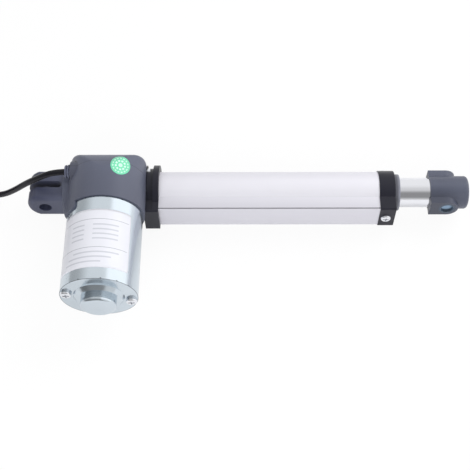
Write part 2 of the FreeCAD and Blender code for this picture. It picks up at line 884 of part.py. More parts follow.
def rod_end_head():
    """The cast head on the end of the rod, with a boss for the pin across it."""
    front = head_x + head_front_reach
    barrel = along_x(head_radius, head_back, front)
    barrel = soften(barrel, head_edge, lambda e: e.BoundBox.XMin > front - 0.01)
    y = -boss_half_width
    nose = Part.Arc(
        V(head_x, y, boss_radius), V(head_x + boss_radius, y, 0), V(head_x, y, -boss_radius)
    ).toShape()
    sides = Part.makePolygon([
        V(head_x, y, -boss_radius),
        V(head_back, y, -boss_radius),
        V(head_back, y, boss_radius),
        V(head_x, y, boss_radius),
    ])
    boss = Part.Face(Part.Wire(nose.Edges + sides.Edges)).extrude(V(0, 2 * boss_half_width, 0))
    core = along_x(rod_bore - seat_gap, head_back - head_spigot, front - head_edge)
    room = along_x(rod_radius + seat_gap, head_back - 1, head_back + head_socket)
    return barrel.fuse(boss).cut(room).fuse(core).cut(head_cross_hole()).removeSplitter()


def head_bush():
    """The steel bush that the front pin turns in."""
    half = boss_half_width
    bush = along_y(pin_hole / 2 + head_bush_wall - seat_gap, -half, half, head_x, 0.0)
    return bush.cut(along_y(pin_hole / 2, -half - 1, half + 1, head_x, 0.0))


def drive_nut():
    """The nut on the spindle: its key runs in the tube's slot and stops it turning."""
    body = along_x(nut_radius, nut_back, nut_shoulder)
    spigot = along_x(rod_bore - seat_gap, nut_shoulder - 1, nut_front)
    key_half = key_slot_half - free_gap
    key_tip = -channel_near + free_gap
    key = block(nut_back, nut_shoulder, key_tip, -nut_radius + nut_key_root, -key_half, key_half)
    bore = along_x(screw_radius + running_gap, nut_back - 1, nut_front + 1)
    return body.fuse([spigot, key]).cut(bore).removeSplitter()


def spindle():
    """The screw: a journal in the gearbox, a shoulder, and the threaded length."""
    journal_end = front_bearing_from + bearing_width
    journal = along_x(journal_radius, rear_bearing_from, journal_end)
    shoulder = along_x(spacer_radius, journal_end, journal_end + shoulder_length)
    screw = along_x(screw_radius, journal_end, screw_end)
    tip = along_x(guide_journal, screw_end, screw_end + guide_length)
    return journal.fuse([shoulder, screw, tip]).removeSplitter()


def spindle_guide():
    """The plastic ring on the spindle's free end that centres it in the rod."""
    return ring_x(rod_bore - 2 * running_gap, guide_journal + seat_gap, screw_end, screw_end + guide_length)


def spindle_spacers():
    """The two sleeves that hold the wheel between the bearings."""
    rear = rear_bearing_from + bearing_width
    half = wheel_width / 2
    inner = journal_radius + seat_gap
    return Part.makeCompound([
        ring_x(spacer_radius, inner, rear, wheel_x - half),
        ring_x(spacer_radius, inner, wheel_x + half, front_bearing_from),
    ])


def bearing_places():
    return [rear_bearing_from, front_bearing_from]


def race_groove(x):
    """The ring of air that the balls roll in."""
    middle = (journal_radius + bearing_outer) / 2
    radius = ball_radius() + running_gap
    return Part.makeTorus(middle, radius, V(x + bearing_width / 2, 0, 0), X_AXIS)


def ball_radius():
    return (bearing_outer - journal_radius - 2 * bearing_ring) / 2 + race_depth


def bearing_outer_rings():
    rings = []
    for x in bearing_places():
        ring = ring_x(bearing_outer, bearing_outer - bearing_ring, x, x + bearing_width)
        rings.append(ring.cut(race_groove(x)))
    return Part.makeCompound(rings)


def bearing_inner_rings():
    rings = []
    for x in bearing_places():
        ring = ring_x(journal_radius + bearing_ring, journal_radius + seat_gap, x, x + bearing_width)
        rings.append(ring.cut(race_groove(x)))
    return Part.makeCompound(rings)


def bearing_balls():
    """The balls of both bearings, evenly spaced."""
    middle = (journal_radius + bearing_outer) / 2
    balls = []
    for x in bearing_places():
        for k in range(ball_count):
            turn = 2 * math.pi * k / ball_count
            centre = V(x + bearing_width / 2, middle * math.cos(turn), middle * math.sin(turn))
            balls.append(Part.makeSphere(ball_radius() - running_gap, centre))
    return Part.makeCompound(balls)


def involute_point(base, radius, start, side):
    """A point of the involute of the base circle, turned to its place on the wheel."""
    roll = math.sqrt(max((radius / base) ** 2 - 1.0, 0.0))
    swing = roll - math.atan(roll)
    turn = start + side * swing
    return radius, turn


def wheel_section(x, twist):
    """The worm wheel's outline at one end of its face, turned by the twist."""
    base = wheel_pitch_radius * math.cos(pressure_angle)
    root = wheel_pitch_radius - dedendum
    tip = wheel_pitch_radius + addendum
    pitch_turn = 2 * math.pi / wheel_teeth
    half_tooth = (math.pi * gear_module / 2 - backlash / 2) / (2 * wheel_pitch_radius)
    swing = math.tan(pressure_angle) - pressure_angle
    foot = half_tooth + swing

    def place(radius, turn):
        return V(x, -radius * math.sin(turn), radius * math.cos(turn))

    edges = []
    for k in range(wheel_teeth):
        middle = (k + 0.5) * pitch_turn + twist
        left = [involute_point(base, r, middle - foot, 1) for r in (base, (base + tip) / 2, tip)]
        right = [involute_point(base, r, middle + foot, -1) for r in (tip, (base + tip) / 2, base)]
        after = middle + pitch_turn - foot
        rising = [place(root, middle - foot), place(*left[0])]
        edges.append(Part.LineSegment(*rising).toShape())
        edges.append(Part.Arc(*[place(*p) for p in left]).toShape())
        edges.append(Part.Arc(place(*left[2]), place(tip, middle), place(*right[0])).toShape())
        edges.append(Part.Arc(*[place(*p) for p in right]).toShape())
        edges.append(Part.LineSegment(place(*right[2]), place(root, middle + foot)).toShape())
        low = (middle + foot + after) / 2
        edges.append(Part.Arc(place(root, middle + foot), place(root, low), place(root, after)).toShape())
    return Part.Wire(edges)


def worm_wheel():
    """The wheel on the spindle: its teeth lean with the worm's thread."""
    lean = worm_lead / (2 * math.pi * worm_pitch_radius)
    half = wheel_width / 2
    twist = lean * half / wheel_pitch_radius
    sections = [wheel_section(wheel_x - half, -twist), wheel_section(wheel_x + half, twist)]
    wheel = Part.makeLoft(sections, True, True)
    bore = along_x(journal_radius + seat_gap, wheel_x - half - 1, wheel_x + half + 1)
    outer = wheel_pitch_radius - dedendum - dish_rim
    inner = spacer_radius + dish_hub
    dishes = [
        ring_x(outer, inner, wheel_x - half - 1, wheel_x - half + dish_depth),
        ring_x(outer, inner, wheel_x + half - dish_depth, wheel_x + half + 1),
    ]
    return wheel.cut([bore] + dishes)


def worm_thread():
    """The worm's thread, swept along a helix with its flanks at the pressure angle."""
    length = worm_turns * worm_lead
    root = worm_pitch_radius - dedendum
    tip = worm_pitch_radius + addendum
    half = (math.pi * gear_module / 2 - backlash / 2) / 2
    slope = math.tan(pressure_angle)
    sunk = root - thread_sunk
    low_half = half + (worm_pitch_radius - sunk) * slope
    high_half = half - addendum * slope
    helix = Part.makeHelix(worm_lead, length, worm_pitch_radius)
    profile = Part.makePolygon([
        V(sunk, 0, -low_half),
        V(tip, 0, -high_half),
        V(tip, 0, high_half),
        V(sunk, 0, low_half),
        V(sunk, 0, -low_half),
    ])
    thread = Part.Wire(helix.Edges).makePipeShell([profile], True, True)
    # Laid along +Y, then turned so that a turn is centred over the wheel's middle
    thread.rotate(V(0, 0, 0), X_AXIS, -90)
    thread.rotate(V(0, 0, 0), Y_AXIS, 90)
    thread.translate(V(0, -length / 2, 0))
    return thread


def rotor_shaft():
    """The motor's shaft, with the worm cut where it crosses the wheel.

    It is made on the Y axis, then placed."""
    far = column_far - wall - shaft_end_gap
    near = bell_top - bell_plate - shaft_end_gap
    shaft = along_y(shaft_radius, -near, far, 0.0, 0.0)
    root = worm_pitch_radius - dedendum
    half = worm_turns * worm_lead / 2
    core = along_y(root, -half - worm_shoulder, half + worm_shoulder, 0.0, 0.0)
    trim = along_y(worm_pitch_radius + 2 * addendum, -half, half, 0.0, 0.0)
    rotor = shaft.fuse([core, worm_thread().common(trim)]).removeSplitter()
    rotor.translate(V(wheel_x, 0, motor_z))
    return rotor


def motor_can():
    """The plated steel tube of the motor."""
    return ring_y(can_radius, can_radius - can_wall, -can_back, -can_front)


def inside_can():
    return can_radius - can_wall - seat_gap


def bolt_clearance(from_end, to_end):
    return [
        along_y(tie_bolt_radius + seat_gap, -to_end - 1, -from_end + 1, x, z)
        for x, z in tie_bolt_places()
    ]


def motor_front_plate():
    """The plate against the gearbox, with a hub for the shaft's bush."""
    back = -can_front - front_plate
    plate = along_y(inside_can(), back, -can_front)
    hub = along_y(motor_bearing_radius + motor_hub_wall, back, back + motor_bearing_width)
    bore = along_y(motor_bearing_radius + seat_gap, back - 1, back + motor_bearing_width + 1)
    holes = bolt_clearance(can_front, can_front + front_plate)
    return plate.fuse(hub).cut([bore] + holes).removeSplitter()


def motor_bushes():
    """The sintered bushes that carry the rotor, one in each end of the motor."""
    front = -can_front - front_plate
    back = -bell_back - bell_cone_height + bell_plate
    inner = shaft_radius + running_gap
    return Part.makeCompound([
        ring_y(motor_bearing_radius, inner, front, front + motor_bearing_width),
        ring_y(motor_bearing_radius, inner, back - motor_bearing_width, back),
    ])


def motor_end_bell():
    """The pressed end cover: a flat rim, a step, and a domed hub for the bush."""
    step_back = bell_back + bell_cone_height
    hub_inside = motor_bearing_radius + seat_gap
    bell = turned_about_motor([
        (0.0, bell_top),
        (bell_boss_radius, bell_top),
        (bell_boss_radius, step_back),
        (bell_cone_radius, step_back),
        (bell_step_radius, bell_back),
        (can_radius, bell_back),
        (can_radius, can_back),
        (bell_step_radius - bell_plate, can_back),
        (bell_cone_radius - bell_plate, step_back - bell_plate),
        (hub_inside, step_back - bell_plate),
        (hub_inside, bell_top - bell_plate),
        (0.0, bell_top - bell_plate),
    ])
    bell = soften(bell, bell_round, lambda e: abs(e.BoundBox.YMin + bell_top) < 0.01 and not is_straight(e))
    return bell.cut(bolt_clearance(can_back, bell_back))


def motor_tie_bolts():
    """Two bolts from the end cover, through the motor, into the gearbox."""
    bolts = []
    for x, z in tie_bolt_places():
        shank = along_y(tie_bolt_radius, -bell_back, -can_front + tie_bolt_grip, x, z)
        head = along_y(tie_head_radius, -bell_back - tie_head_height, -bell_back, x, z)
        head = soften(head, tie_head_round, is_outer_rim)
        low = -bell_back - tie_head_height
        cross = [
            block(x - a, x + a, low - 1, low + tie_cross_depth, z - b, z + b)
            for a, b in cross_arms(tie_cross_length, tie_cross_width)
        ]
        bolts.append(shank.fuse(head).cut(cross))
    return Part.makeCompound(bolts)


def is_outer_rim(edge):
    return abs(edge.BoundBox.YMax + bell_back + tie_head_height) < 0.01


def magnets():
    """Two arcs of ferrite held against the can, above and below the armature."""
    inner = armature_radius + air_gap
    arc = ring_y(inside_can(), inner, -armature_back - magnet_overhang, -armature_front + magnet_overhang)
    reach = 2 * can_radius
    half = math.radians(magnet_half_angle)
    y = -armature_back - magnet_overhang - 1
    arcs = []
    for up in (1, -1):
        wedge = Part.Face(Part.makePolygon([
            V(wheel_x, y, motor_z),
            V(wheel_x - reach * math.sin(half), y, motor_z + up * reach * math.cos(half)),
            V(wheel_x, y, motor_z + up * reach),
            V(wheel_x + reach * math.sin(half), y, motor_z + up * reach * math.cos(half)),
            V(wheel_x, y, motor_z),
        ])).extrude(V(0, armature_length + 2 * magnet_overhang + 2, 0))
        arcs.append(arc.common(wedge))
    return Part.makeCompound(arcs)


def slot_places():
    """(X, Z) of the middle of each winding slot."""
    return [
        (wheel_x + slot_circle * math.sin(2 * math.pi * k / armature_slots),
         motor_z + slot_circle * math.cos(2 * math.pi * k / armature_slots))
        for k in range(armature_slots)
    ]


def armature_core():
    """The laminated iron on the shaft, with a slot for each winding."""
    core = ring_y(armature_radius, shaft_radius + seat_gap, -armature_back, -armature_front)
    cuts = []
    half = mouth_half_width
    for k, (x, z) in enumerate(slot_places()):
        cuts.append(along_y(slot_radius, -armature_back - 1, -armature_front + 1, x, z))
        mouth = block(
            wheel_x - half, wheel_x + half, -armature_back - 1, -armature_front + 1,
            motor_z + armature_radius - mouth_depth, motor_z + armature_radius + 1,
        )
        mouth.rotate(V(wheel_x, 0, motor_z), Y_AXIS, 360.0 * k / armature_slots)
        cuts.append(mouth)
    return core.cut(cuts)


def armature_windings():
    """The copper in the slots and round both ends of the core."""
    outer = armature_radius - winding_inset
    inner = shaft_radius + winding_hub
    ends = [
        ring_y(outer, inner, -armature_front, -armature_front + winding_overhang),
        ring_y(outer, inner, -armature_back - winding_overhang, -armature_back),
    ]
    ends = [soften(e, winding_round, lambda edge: is_winding_edge(edge, outer)) for e in ends]
    bars = [
        along_y(slot_radius - seat_gap, -armature_back - 1, -armature_front + 1, x, z)
        for x, z in slot_places()
    ]
    return ends[0].fuse([ends[1]] + bars)


def is_winding_edge(edge, outer):
    """True for the outer rims of the copper, away from the iron."""
    y = edge.BoundBox.YMin
    away = y > -armature_front + 1 or y < -armature_back - 1
    return away and edge.BoundBox.YLength < 0.01 and edge.BoundBox.XLength > 2 * outer - 0.1


def commutator():
    """The copper segments on the shaft that the brushes rub."""
    drum = ring_y(commutator_radius, shaft_radius + seat_gap, -commutator_back, -commutator_front)
    slits = []
    for k in range(armature_slots):
        slit = block(
            wheel_x - slit_half_width, wheel_x + slit_half_width, -commutator_back - 1, -commutator_front + 1,
            motor_z + commutator_radius - slit_depth, motor_z + commutator_radius + 1,
        )
        slit.rotate(V(wheel_x, 0, motor_z), Y_AXIS, 360.0 * (k + 0.5) / armature_slots)
        slits.append(slit)
    return drum.cut(slits)


def brush_middle():
    """Distance towards the motor's end of the middle of the brushes."""
    return (commutator_front + commutator_back) / 2


def radial_block(width, r0, r1, up):
    """A square bar that points at the shaft from above or below."""
    middle = -brush_middle()
    z0, z1 = sorted((motor_z + up * r0, motor_z + up * r1))
    return block(wheel_x - width / 2, wheel_x + width / 2, middle - width / 2, middle + width / 2, z0, z1)


def brush_holder():
    """The insulating plate with a box for each brush."""
    back = brush_middle() + brush_width / 2 + brush_plate_gap
    plate = ring_y(inside_can(), commutator_radius + brush_box_gap, -back - brush_plate, -back)
    boxes = []
    rooms = []
    start = commutator_radius + brush_box_gap
    end = start + brush_length + brush_spring_length
    for up in (1, -1):
        boxes.append(radial_block(brush_width + 2 * brush_box_wall, start, end + brush_box_end, up))
        rooms.append(radial_block(brush_width + 2 * seat_gap, start - 1, end, up))
    return plate.fuse(boxes).cut(rooms + bolt_clearance(back, back + brush_plate)).removeSplitter()


def brushes():
    start = commutator_radius + running_gap
    return Part.makeCompound([
        radial_block(brush_width, start, start + brush_length, up).cut(
            along_y(start, -commutator_back, -commutator_front)
        )
        for up in (1, -1)
    ])


def brush_springs():
    """A small coil spring behind each brush."""
    springs = []
    start = commutator_radius + running_gap + brush_length
    end = commutator_radius + brush_box_gap + brush_length + brush_spring_length
    wire = brush_spring_wire
    for up in (1, -1):
        height = end - start - wire
        helix = Part.makeHelix(height / brush_spring_turns, height, brush_spring_radius)
        square = Part.makePolygon([
            V(brush_spring_radius - wire / 2, 0, -wire / 2),
            V(brush_spring_radius + wire / 2, 0, -wire / 2),
            V(brush_spring_radius + wire / 2, 0, wire / 2),
            V(brush_spring_radius - wire / 2, 0, wire / 2),
            V(brush_spring_radius - wire / 2, 0, -wire / 2),
        ])
        spring = Part.Wire(helix.Edges).makePipeShell([square], True, True)
        if up < 0:
            spring.rotate(V(0, 0, 0), X_AXIS, 180)
        spring.translate(V(wheel_x, -brush_middle(), motor_z + up * (start + wire / 2)))
        springs.append(spring)
    return Part.makeCompound(springs)


def switch_board():
    """The narrow circuit board in the tube's side channel."""
    return block(
        tube_start + board_margin, tube_end - board_margin,
        -channel_far + seat_gap, -channel_far + seat_gap + board_thickness,
        -board_half_height, board_half_height,
    )


def limit_switches():
    """A switch at each end of the nut's travel, its button just under the nut's key."""
    top = -channel_far + seat_gap + board_thickness
    switches = []
    for x in (nut_back + switch_lead, nut_shoulder + stroke - switch_lead):
        body = block(
            x - switch_length / 2, x + switch_length / 2, top, top + switch_height,
            -switch_half_height, switch_half_height,
        )
        button_from = top + switch_height - switch_button_sunk
        button = along_y(switch_button_radius, button_from, -channel_near, x, 0.0)
        switches.append(body.fuse(button))
    return Part.makeCompound(switches)


def cable_gland():
    """The ribbed rubber sleeve round the cable where it leaves the seam."""
    root = gland_boss_from + gland_seat
    tip = root - gland_nose
    inner = cable_radius + seat_gap
    pitch = gland_nose / gland_ribs
    points = [(tip, inner), (tip, gland_tip_radius)]
    for k in range(gland_ribs):
        radius = gland_tip_radius + (gland_root_radius - gland_tip_radius) * (k + 1) / gland_ribs
        start = tip + k * pitch
        rib_end = start + pitch * gland_rib_share
        points.append((rib_end, radius))
        if k < gland_ribs - 1:
            points.append((rib_end, radius - gland_rib_depth))
            points.append((start + pitch, radius - gland_rib_depth))
            points.append((start + pitch, radius))
    end = root + gland_inside
    points += [(root, gland_root_radius), (root, gland_neck), (end, gland_neck), (end, inner)]
    corners = [V(x, 0, gland_height + r) for x, r in points]
    face = Part.Face(Part.makePolygon(corners + corners[:1]))
    return face.revolve(V(0, 0, gland_height), X_AXIS, 360)


def cable_tube(points, radius):
    """Straight runs joined by tangent arcs, with a round section along them."""
    edges = []
    length = 0.0
    here = points[0]
    for before, corner, after in zip(points, points[1:], points[2:]):
        back = (before - corner).normalize()
        ahead = (after - corner).normalize()
        half_turn = (math.pi - back.getAngle(ahead)) / 2
        reach = bend_share * min((before - corner).Length, (after - corner).Length)
        arc_radius = reach / math.tan(half_turn)
        start = corner + back * reach
        end = corner + ahead * reach
        inward = (back + ahead).normalize()
        middle = corner + inward * (arc_radius / math.cos(half_turn) - arc_radius)
        edges.append(Part.LineSegment(here, start).toShape())
        edges.append(Part.Arc(start, middle, end).toShape())
        length += (start - here).Length + 2 * half_turn * arc_radius
        here = end
        print("  bend", round(arc_radius, 1), "turn", round(math.degrees(2 * half_turn), 1))
    edges.append(Part.LineSegment(here, points[-1]).toShape())
    length += (points[-1] - here).Length
    path = Part.Wire(edges)
    first = (points[1] - points[0]).normalize()
    circle = Part.Wire(Part.Circle(points[0], first, radius).toShape())
    tube = path.makePipeShell([circle], True, True)
    print("  length", round(length, 1))
    return tube


def power_cable():
    """From the gland, down past the clevis to the floor, and into the coil."""
    return cable_tube(cable_route, cable_radius).cut(cable_coil())


def cable_tail():
    """From the top of the coil to the plug."""
    return cable_tube(tail_route, cable_radius).cut(cable_coil())


def cable_coil():
    """The outer shape of the wound cable: three turns below, two above."""
    low = floor_z
    step = 2 * cable_radius
    half = coil_turns_across * cable_radius
    nest = cable_radius * math.sqrt(3)
    top = low + step + nest
    foot = coil_foot * cable_radius
    side = low + coil_side * cable_radius
    cheek = low + coil_cheek * cable_radius
    inset = coil_top_inset * cable_radius

    def at(offset, z):
        return V(coil_x + coil_radius + offset, coil_y, z)

    face = Part.Face(Part.makePolygon([
        at(-half + foot, low),
        at(half - foot, low),
        at(half, side),
        at(half, cheek),
        at(half - inset, top),
        at(-half + inset, top),
        at(-half, cheek),
        at(-half, side),
        at(-half + foot, low),
    ]))
    return face.revolve(V(coil_x, coil_y, low), Z_AXIS, 360)


def power_plug():
    """A moulded two-pin plug, lying beside the coil."""
    start = tail_route[-1]
    ahead = (tail_route[-1] - tail_route[-2]).normalize()
    body = block(0, plug_length, -plug_width / 2, plug_width / 2, -plug_height / 2, plug_height / 2)
    body = body.makeFillet(plug_round, [e for e in body.Edges if e.BoundBox.XLength > plug_length - 0.1])
    length = plug_sleeve_length
    thin = cable_radius + plug_sleeve_wall
    sleeve = Part.makeCone(thin, thin + plug_sleeve_wall, length, V(-length, 0, 0), X_AXIS)
    pins = [
        Part.makeCylinder(plug_pin_radius, plug_pin_length + 1, V(plug_length - 1, y, 0), X_AXIS)
        for y in (-plug_width / 4, plug_width / 4)
    ]
    plug = body.fuse([sleeve] + pins)
    plug.rotate(V(0, 0, 0), Z_AXIS, math.degrees(math.atan2(ahead.y, ahead.x)))
    plug.translate(V(start.x, start.y, floor_z + plug_height / 2) + V(ahead.x, ahead.y, 0) * length)
    return plug


NODES = [
    ("rear_clevis", rear_clevis),
    ("gearbox_housing", gearbox_housing),
    ("gearbox_cover", gearbox_cover),
    ("tube_socket", tube_socket),
    ("socket_screws", socket_screws),
    ("outer_tube", outer_tube),
    ("tube_gasket", tube_gasket),
    ("end_cap", end_cap),
    ("end_cap_screws", end_cap_screws),
    ("guide_bush", guide_bush),
    ("wiper_seal", wiper_seal),
    ("rod", rod),
    ("rod_end_head", rod_end_head),
    ("head_bush", head_bush),
    ("drive_nut", drive_nut),
    ("spindle", spindle),
    ("spindle_guide", spindle_guide),
    ("spindle_spacers", spindle_spacers),
    ("bearing_outer_rings", bearing_outer_rings),
    ("bearing_inner_rings", bearing_inner_rings),
    ("bearing_balls", bearing_balls),
    ("worm_wheel", worm_wheel),
    ("rotor_shaft", rotor_shaft),
    ("worm_bush", worm_bush),
    ("cover_screws", cover_screws),
    ("motor_can", motor_can),
    ("motor_front_plate", motor_front_plate),
    ("motor_end_bell", motor_end_bell),
    ("motor_tie_bolts", motor_tie_bolts),
    ("motor_bushes", motor_bushes),
    ("magnets", magnets),
    ("armature_core", armature_core),
    ("armature_windings", armature_windings),
    ("commutator", commutator),
    ("brush_holder", brush_holder),
    ("brushes", brushes),
    ("brush_springs", brush_springs),
    ("switch_board", switch_board),
    ("limit_switches", limit_switches),
    ("cable_gland", cable_gland),
    ("power_cable", power_cable),
    ("cable_coil", cable_coil),
    ("cable_tail", cable_tail),
    ("power_plug", power_plug),
]

for name, make in NODES:
    save(name, make())
print("dead length", round(dead_length, 3))
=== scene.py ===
import math

import bpy
import numpy as np
from mathutils import Matrix, Vector


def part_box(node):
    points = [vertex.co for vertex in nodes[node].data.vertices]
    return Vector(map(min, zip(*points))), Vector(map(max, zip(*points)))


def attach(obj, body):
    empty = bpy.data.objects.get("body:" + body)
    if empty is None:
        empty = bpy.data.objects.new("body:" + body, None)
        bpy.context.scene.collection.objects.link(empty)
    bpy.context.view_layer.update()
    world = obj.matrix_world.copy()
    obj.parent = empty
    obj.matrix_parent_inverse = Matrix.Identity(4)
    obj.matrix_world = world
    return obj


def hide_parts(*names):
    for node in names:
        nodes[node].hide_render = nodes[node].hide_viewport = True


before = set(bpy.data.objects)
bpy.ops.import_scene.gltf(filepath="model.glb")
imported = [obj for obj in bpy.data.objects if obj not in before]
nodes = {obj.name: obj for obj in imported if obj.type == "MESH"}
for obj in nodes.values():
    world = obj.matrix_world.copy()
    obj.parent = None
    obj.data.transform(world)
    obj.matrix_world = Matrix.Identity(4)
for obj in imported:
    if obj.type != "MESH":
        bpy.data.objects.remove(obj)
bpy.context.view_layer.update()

mm = 0.001
print("loaded", len(nodes), "nodes")


def middleOf(name, axis):
    # The middle of a node's box along one axis
    low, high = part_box(name)
    return (getattr(low, axis) + getattr(high, axis)) / 2


class Wire:
    # Holds one output of a shader tree. Sums and products of wires add Math nodes.
    def __init__(self, tree, socket=None):
        self.tree = tree
        self.socket = socket

    def node(self, kind, settings=None, inputs=None, output=0):
        made = self.tree.nodes.new("ShaderNode" + kind)
        for key, value in (settings or {}).items():
            setattr(made, key, value)
        for key, value in (inputs or {}).items():
            if isinstance(value, Wire):
                self.tree.links.new(value.socket, made.inputs[key])
            else:
                made.inputs[key].default_value = value
        return Wire(self.tree, made.outputs[output])

    def sums(self, operation, first, second=0.0):
        return self.node("Math", {"operation": operation}, {0: first, 1: second})

    def __add__(self, other):
        return self.sums("ADD", self, other)

    def __radd__(self, other):
        return self.sums("ADD", other, self)

    def __sub__(self, other):
        return self.sums("SUBTRACT", self, other)

    def __rsub__(self, other):
        return self.sums("SUBTRACT", other, self)

    def __mul__(self, other):
        return self.sums("MULTIPLY", self, other)

    def __rmul__(self, other):
        return self.sums("MULTIPLY", other, self)

    def __pow__(self, other):
        return self.sums("POWER", self, other)

    def __lt__(self, other):
        return self.sums("LESS_THAN", self, other)

    def __gt__(self, other):
        return self.sums("GREATER_THAN", self, other)

    def __abs__(self):
        return self.sums("ABSOLUTE", self)


def linear(red, green, blue):
    # A colour as a screen shows it, 0 to 255, turned into light
    shown = (red, green, blue)
    return tuple(((c / 255 + 0.055) / 1.055) ** 2.4 if c > 10 else c / 3294 for c in shown)


def newLook(name, constants):
    # An empty finish: its wire, its place on the piece, and the shader that it feeds
    material = bpy.data.materials.new(name)
    material.use_nodes = True
    tree = material.node_tree
    shader = tree.nodes["Principled BSDF"]
    for key, value in constants.items():
        shader.inputs[key].default_value = value
    wire = Wire(tree)
    place = wire.node("TexCoord", output="Object")
    return material, wire, place, shader


def feed(shader, **values):
    # Links wires to the shader's sockets; an underscore stands for a space in a socket's name
    for key, value in values.items():
        shader.id_data.links.new(value.socket, shader.inputs[key.replace("_", " ")])


def blendColours(wire, share, low, high):
    # low where the share is 0 and high where it is 1; either may be a colour or a wire
    low = low if isinstance(low, Wire) else (*low, 1.0)
    high = high if isinstance(high, Wire) else (*high, 1.0)
    return wire.node("Mix", {"data_type": "RGBA"}, {0: share, 6: low, 7: high}, output=2)


def noise(wire, place, scale, detail=2.0, rough=0.5):
    inputs = {"Vector": place, "Scale": scale, "Detail": detail, "Roughness": rough}
    return wire.node("TexNoise", None, inputs)


def step(wire, value, low, high):
    # 0 below low, 1 above high, smooth between
    return wire.node("MapRange", {"interpolation_type": "SMOOTHSTEP"}, {0: value, 1: low, 2: high})


def near(wire, value, middle, inner, outer):
    # 1 within inner of a middle, 0 beyond outer, smooth between
    return 1.0 - step(wire, abs(value - middle), inner, outer)


def axisOf(wire, place, axis):
    return wire.node("SeparateXYZ", None, {0: place}, output=axis)


def distance(wire, place, first, firstMiddle, second, secondMiddle):
    # How far a place is from a line along the third axis
    a = axisOf(wire, place, first) - firstMiddle
    b = axisOf(wire, place, second) - secondMiddle
    return (a * a + b * b) ** 0.5


def bump(wire, height, strength, deep):
    return wire.node("Bump", None, {"Height": height, "Strength": strength, "Distance": deep})


# The gearbox: its seam, and painted shade in the corner round the cable boss, in the ring of air round the
# gland and on its front
casing = dict(
    dark=(46, 47, 56), seam=(0.06 * mm, 0.24 * mm), seamShare=0.75, seamDepth=3.0,
    bossHeight=31.0 * mm, bossTo=33.5 * mm,
    bossRadius=8.35 * mm, bossFade=(0.1 * mm, 0.55 * mm), bossShadeShare=0.55,
    gapRadius=6.2 * mm, gapFade=(0.1 * mm, 0.4 * mm), gapShadeShare=0.8,
    front=(68, 71, 84), frontFrom=-12 * mm, frontTo=34 * mm, frontShare=0.5,
)


def seamLine(wire, place):
    # The hairline where the gearbox's halves meet, at Y = 0
    return near(wire, axisOf(wire, place, "Y"), 0.0, *casing["seam"])


def casingDetail(wire, place, shade):
    # Painted shade: the front takes less light, and the rings round the gland's axis are darkened as shade in
    # the corner and the gap; the seam is dark
    front = step(wire, 0.0 - axisOf(wire, place, "Y"), casing["frontFrom"], casing["frontTo"])
    shade = blendColours(wire, front * casing["frontShare"], shade, linear(*casing["front"]))
    wide = distance(wire, place, "Y", 0.0, "Z", casing["bossHeight"])
    corner = near(wire, wide, casing["bossRadius"], *casing["bossFade"]) * casing["bossShadeShare"]
    gap = near(wire, wide, casing["gapRadius"], *casing["gapFade"]) * casing["gapShadeShare"]
    # Painted shade: dark rings in the corner round the boss and in the gap round the gland
    rings = (corner + gap) * (axisOf(wire, place, "X") < casing["bossTo"])
    dark = seamLine(wire, place) * casing["seamShare"] + rings
    return blendColours(wire, dark, shade, linear(*casing["dark"]))


# The clevis: painted light on the root beside the gearbox, and painted shade in the slot
clevis = dict(
    root=(88, 92, 112), rootFrom=-4 * mm, rootTo=18 * mm, rootLightShare=0.75,
    slot=(30, 32, 46), slotHalf=3.05 * mm, slotFrom=12.2 * mm, slotTo=12.9 * mm, slotShadeShare=0.3,
)


def clevisDetail(wire, place, shade):
    # Painted light: lighter along X towards the root. Painted shade: dark between the ears and below their
    # top
    root = step(wire, axisOf(wire, place, "X"), clevis["rootFrom"], clevis["rootTo"])
    shade = blendColours(wire, root * clevis["rootLightShare"], shade, linear(*clevis["root"]))
    inside = abs(axisOf(wire, place, "Y")) < clevis["slotHalf"]
    below = 1.0 - step(wire, axisOf(wire, place, "Z"), clevis["slotFrom"], clevis["slotTo"])
    return blendColours(wire, inside * below * clevis["slotShadeShare"], shade, linear(*clevis["slot"]))


# The rod's head: its front side takes less light, most of all beside the rod
head = dict(
    dark=(46, 49, 62), frontFrom=0.0, frontTo=12 * mm, backFrom=318 * mm, backTo=342 * mm, share=0.7,
)


def headDetail(wire, place, shade):
    front = step(wire, 0.0 - axisOf(wire, place, "Y"), head["frontFrom"], head["frontTo"])
    back = 1.0 - step(wire, axisOf(wire, place, "X"), head["backFrom"], head["backTo"])
    return blendColours(wire, front * back * head["share"], shade, linear(*head["dark"]))


# The guide bush: painted shade darkens the corner between the end cap and the lip
lip = dict(dark=(58, 58, 66), cornerFrom=283.6 * mm, cornerTo=286.4 * mm, share=0.8)


def lipDetail(wire, place, shade):
    # Painted shade in the corner beside the end cap
    corner = 1.0 - step(wire, axisOf(wire, place, "X"), lip["cornerFrom"], lip["cornerTo"])
    return blendColours(wire, corner * lip["share"], shade, linear(*lip["dark"]))


# The motor: a hairline and three staking marks at each end of the can
can = dict(
    x=middleOf("motor_can", "x"), z=middleOf("motor_can", "z"), rim=29.2 * mm, back=-104 * mm, front=-33 * mm,
    line=0.22 * mm, dark=(60, 64, 72), share=0.85,
    marks=(-24.0, 9.0, 33.0), backMark=(0.45 * mm, 1.0 * mm), frontMark=(0.35 * mm, 1.1 * mm),
)


def canDetail(wire, place, shade):
    # A line goes all round, where the place along Y is near an end. The marks cross it where the turn
    # from the top is near each of the listed angles
    along = axisOf(wire, place, "Y")
    out = axisOf(wire, place, "X") - can["x"]
    up = axisOf(wire, place, "Z") - can["z"]
    outside = (out * out + up * up) ** 0.5 > can["rim"]
    back = abs(along - can["back"])
    front = abs(along - can["front"])
    lines = (back < can["line"]) + (front < can["line"])
    for degrees in can["marks"]:
        turn = math.radians(degrees)
        across = abs(out * math.cos(turn) - up * math.sin(turn))
        for end, (halfWidth, halfLength) in ((back, can["backMark"]), (front, can["frontMark"])):
            lines = lines + (across < halfWidth) * (end < halfLength) * (up > 0.0)
    lines = wire.sums("MINIMUM", lines * outside, 1.0)
    return blendColours(wire, lines * can["share"], shade, linear(*can["dark"]))
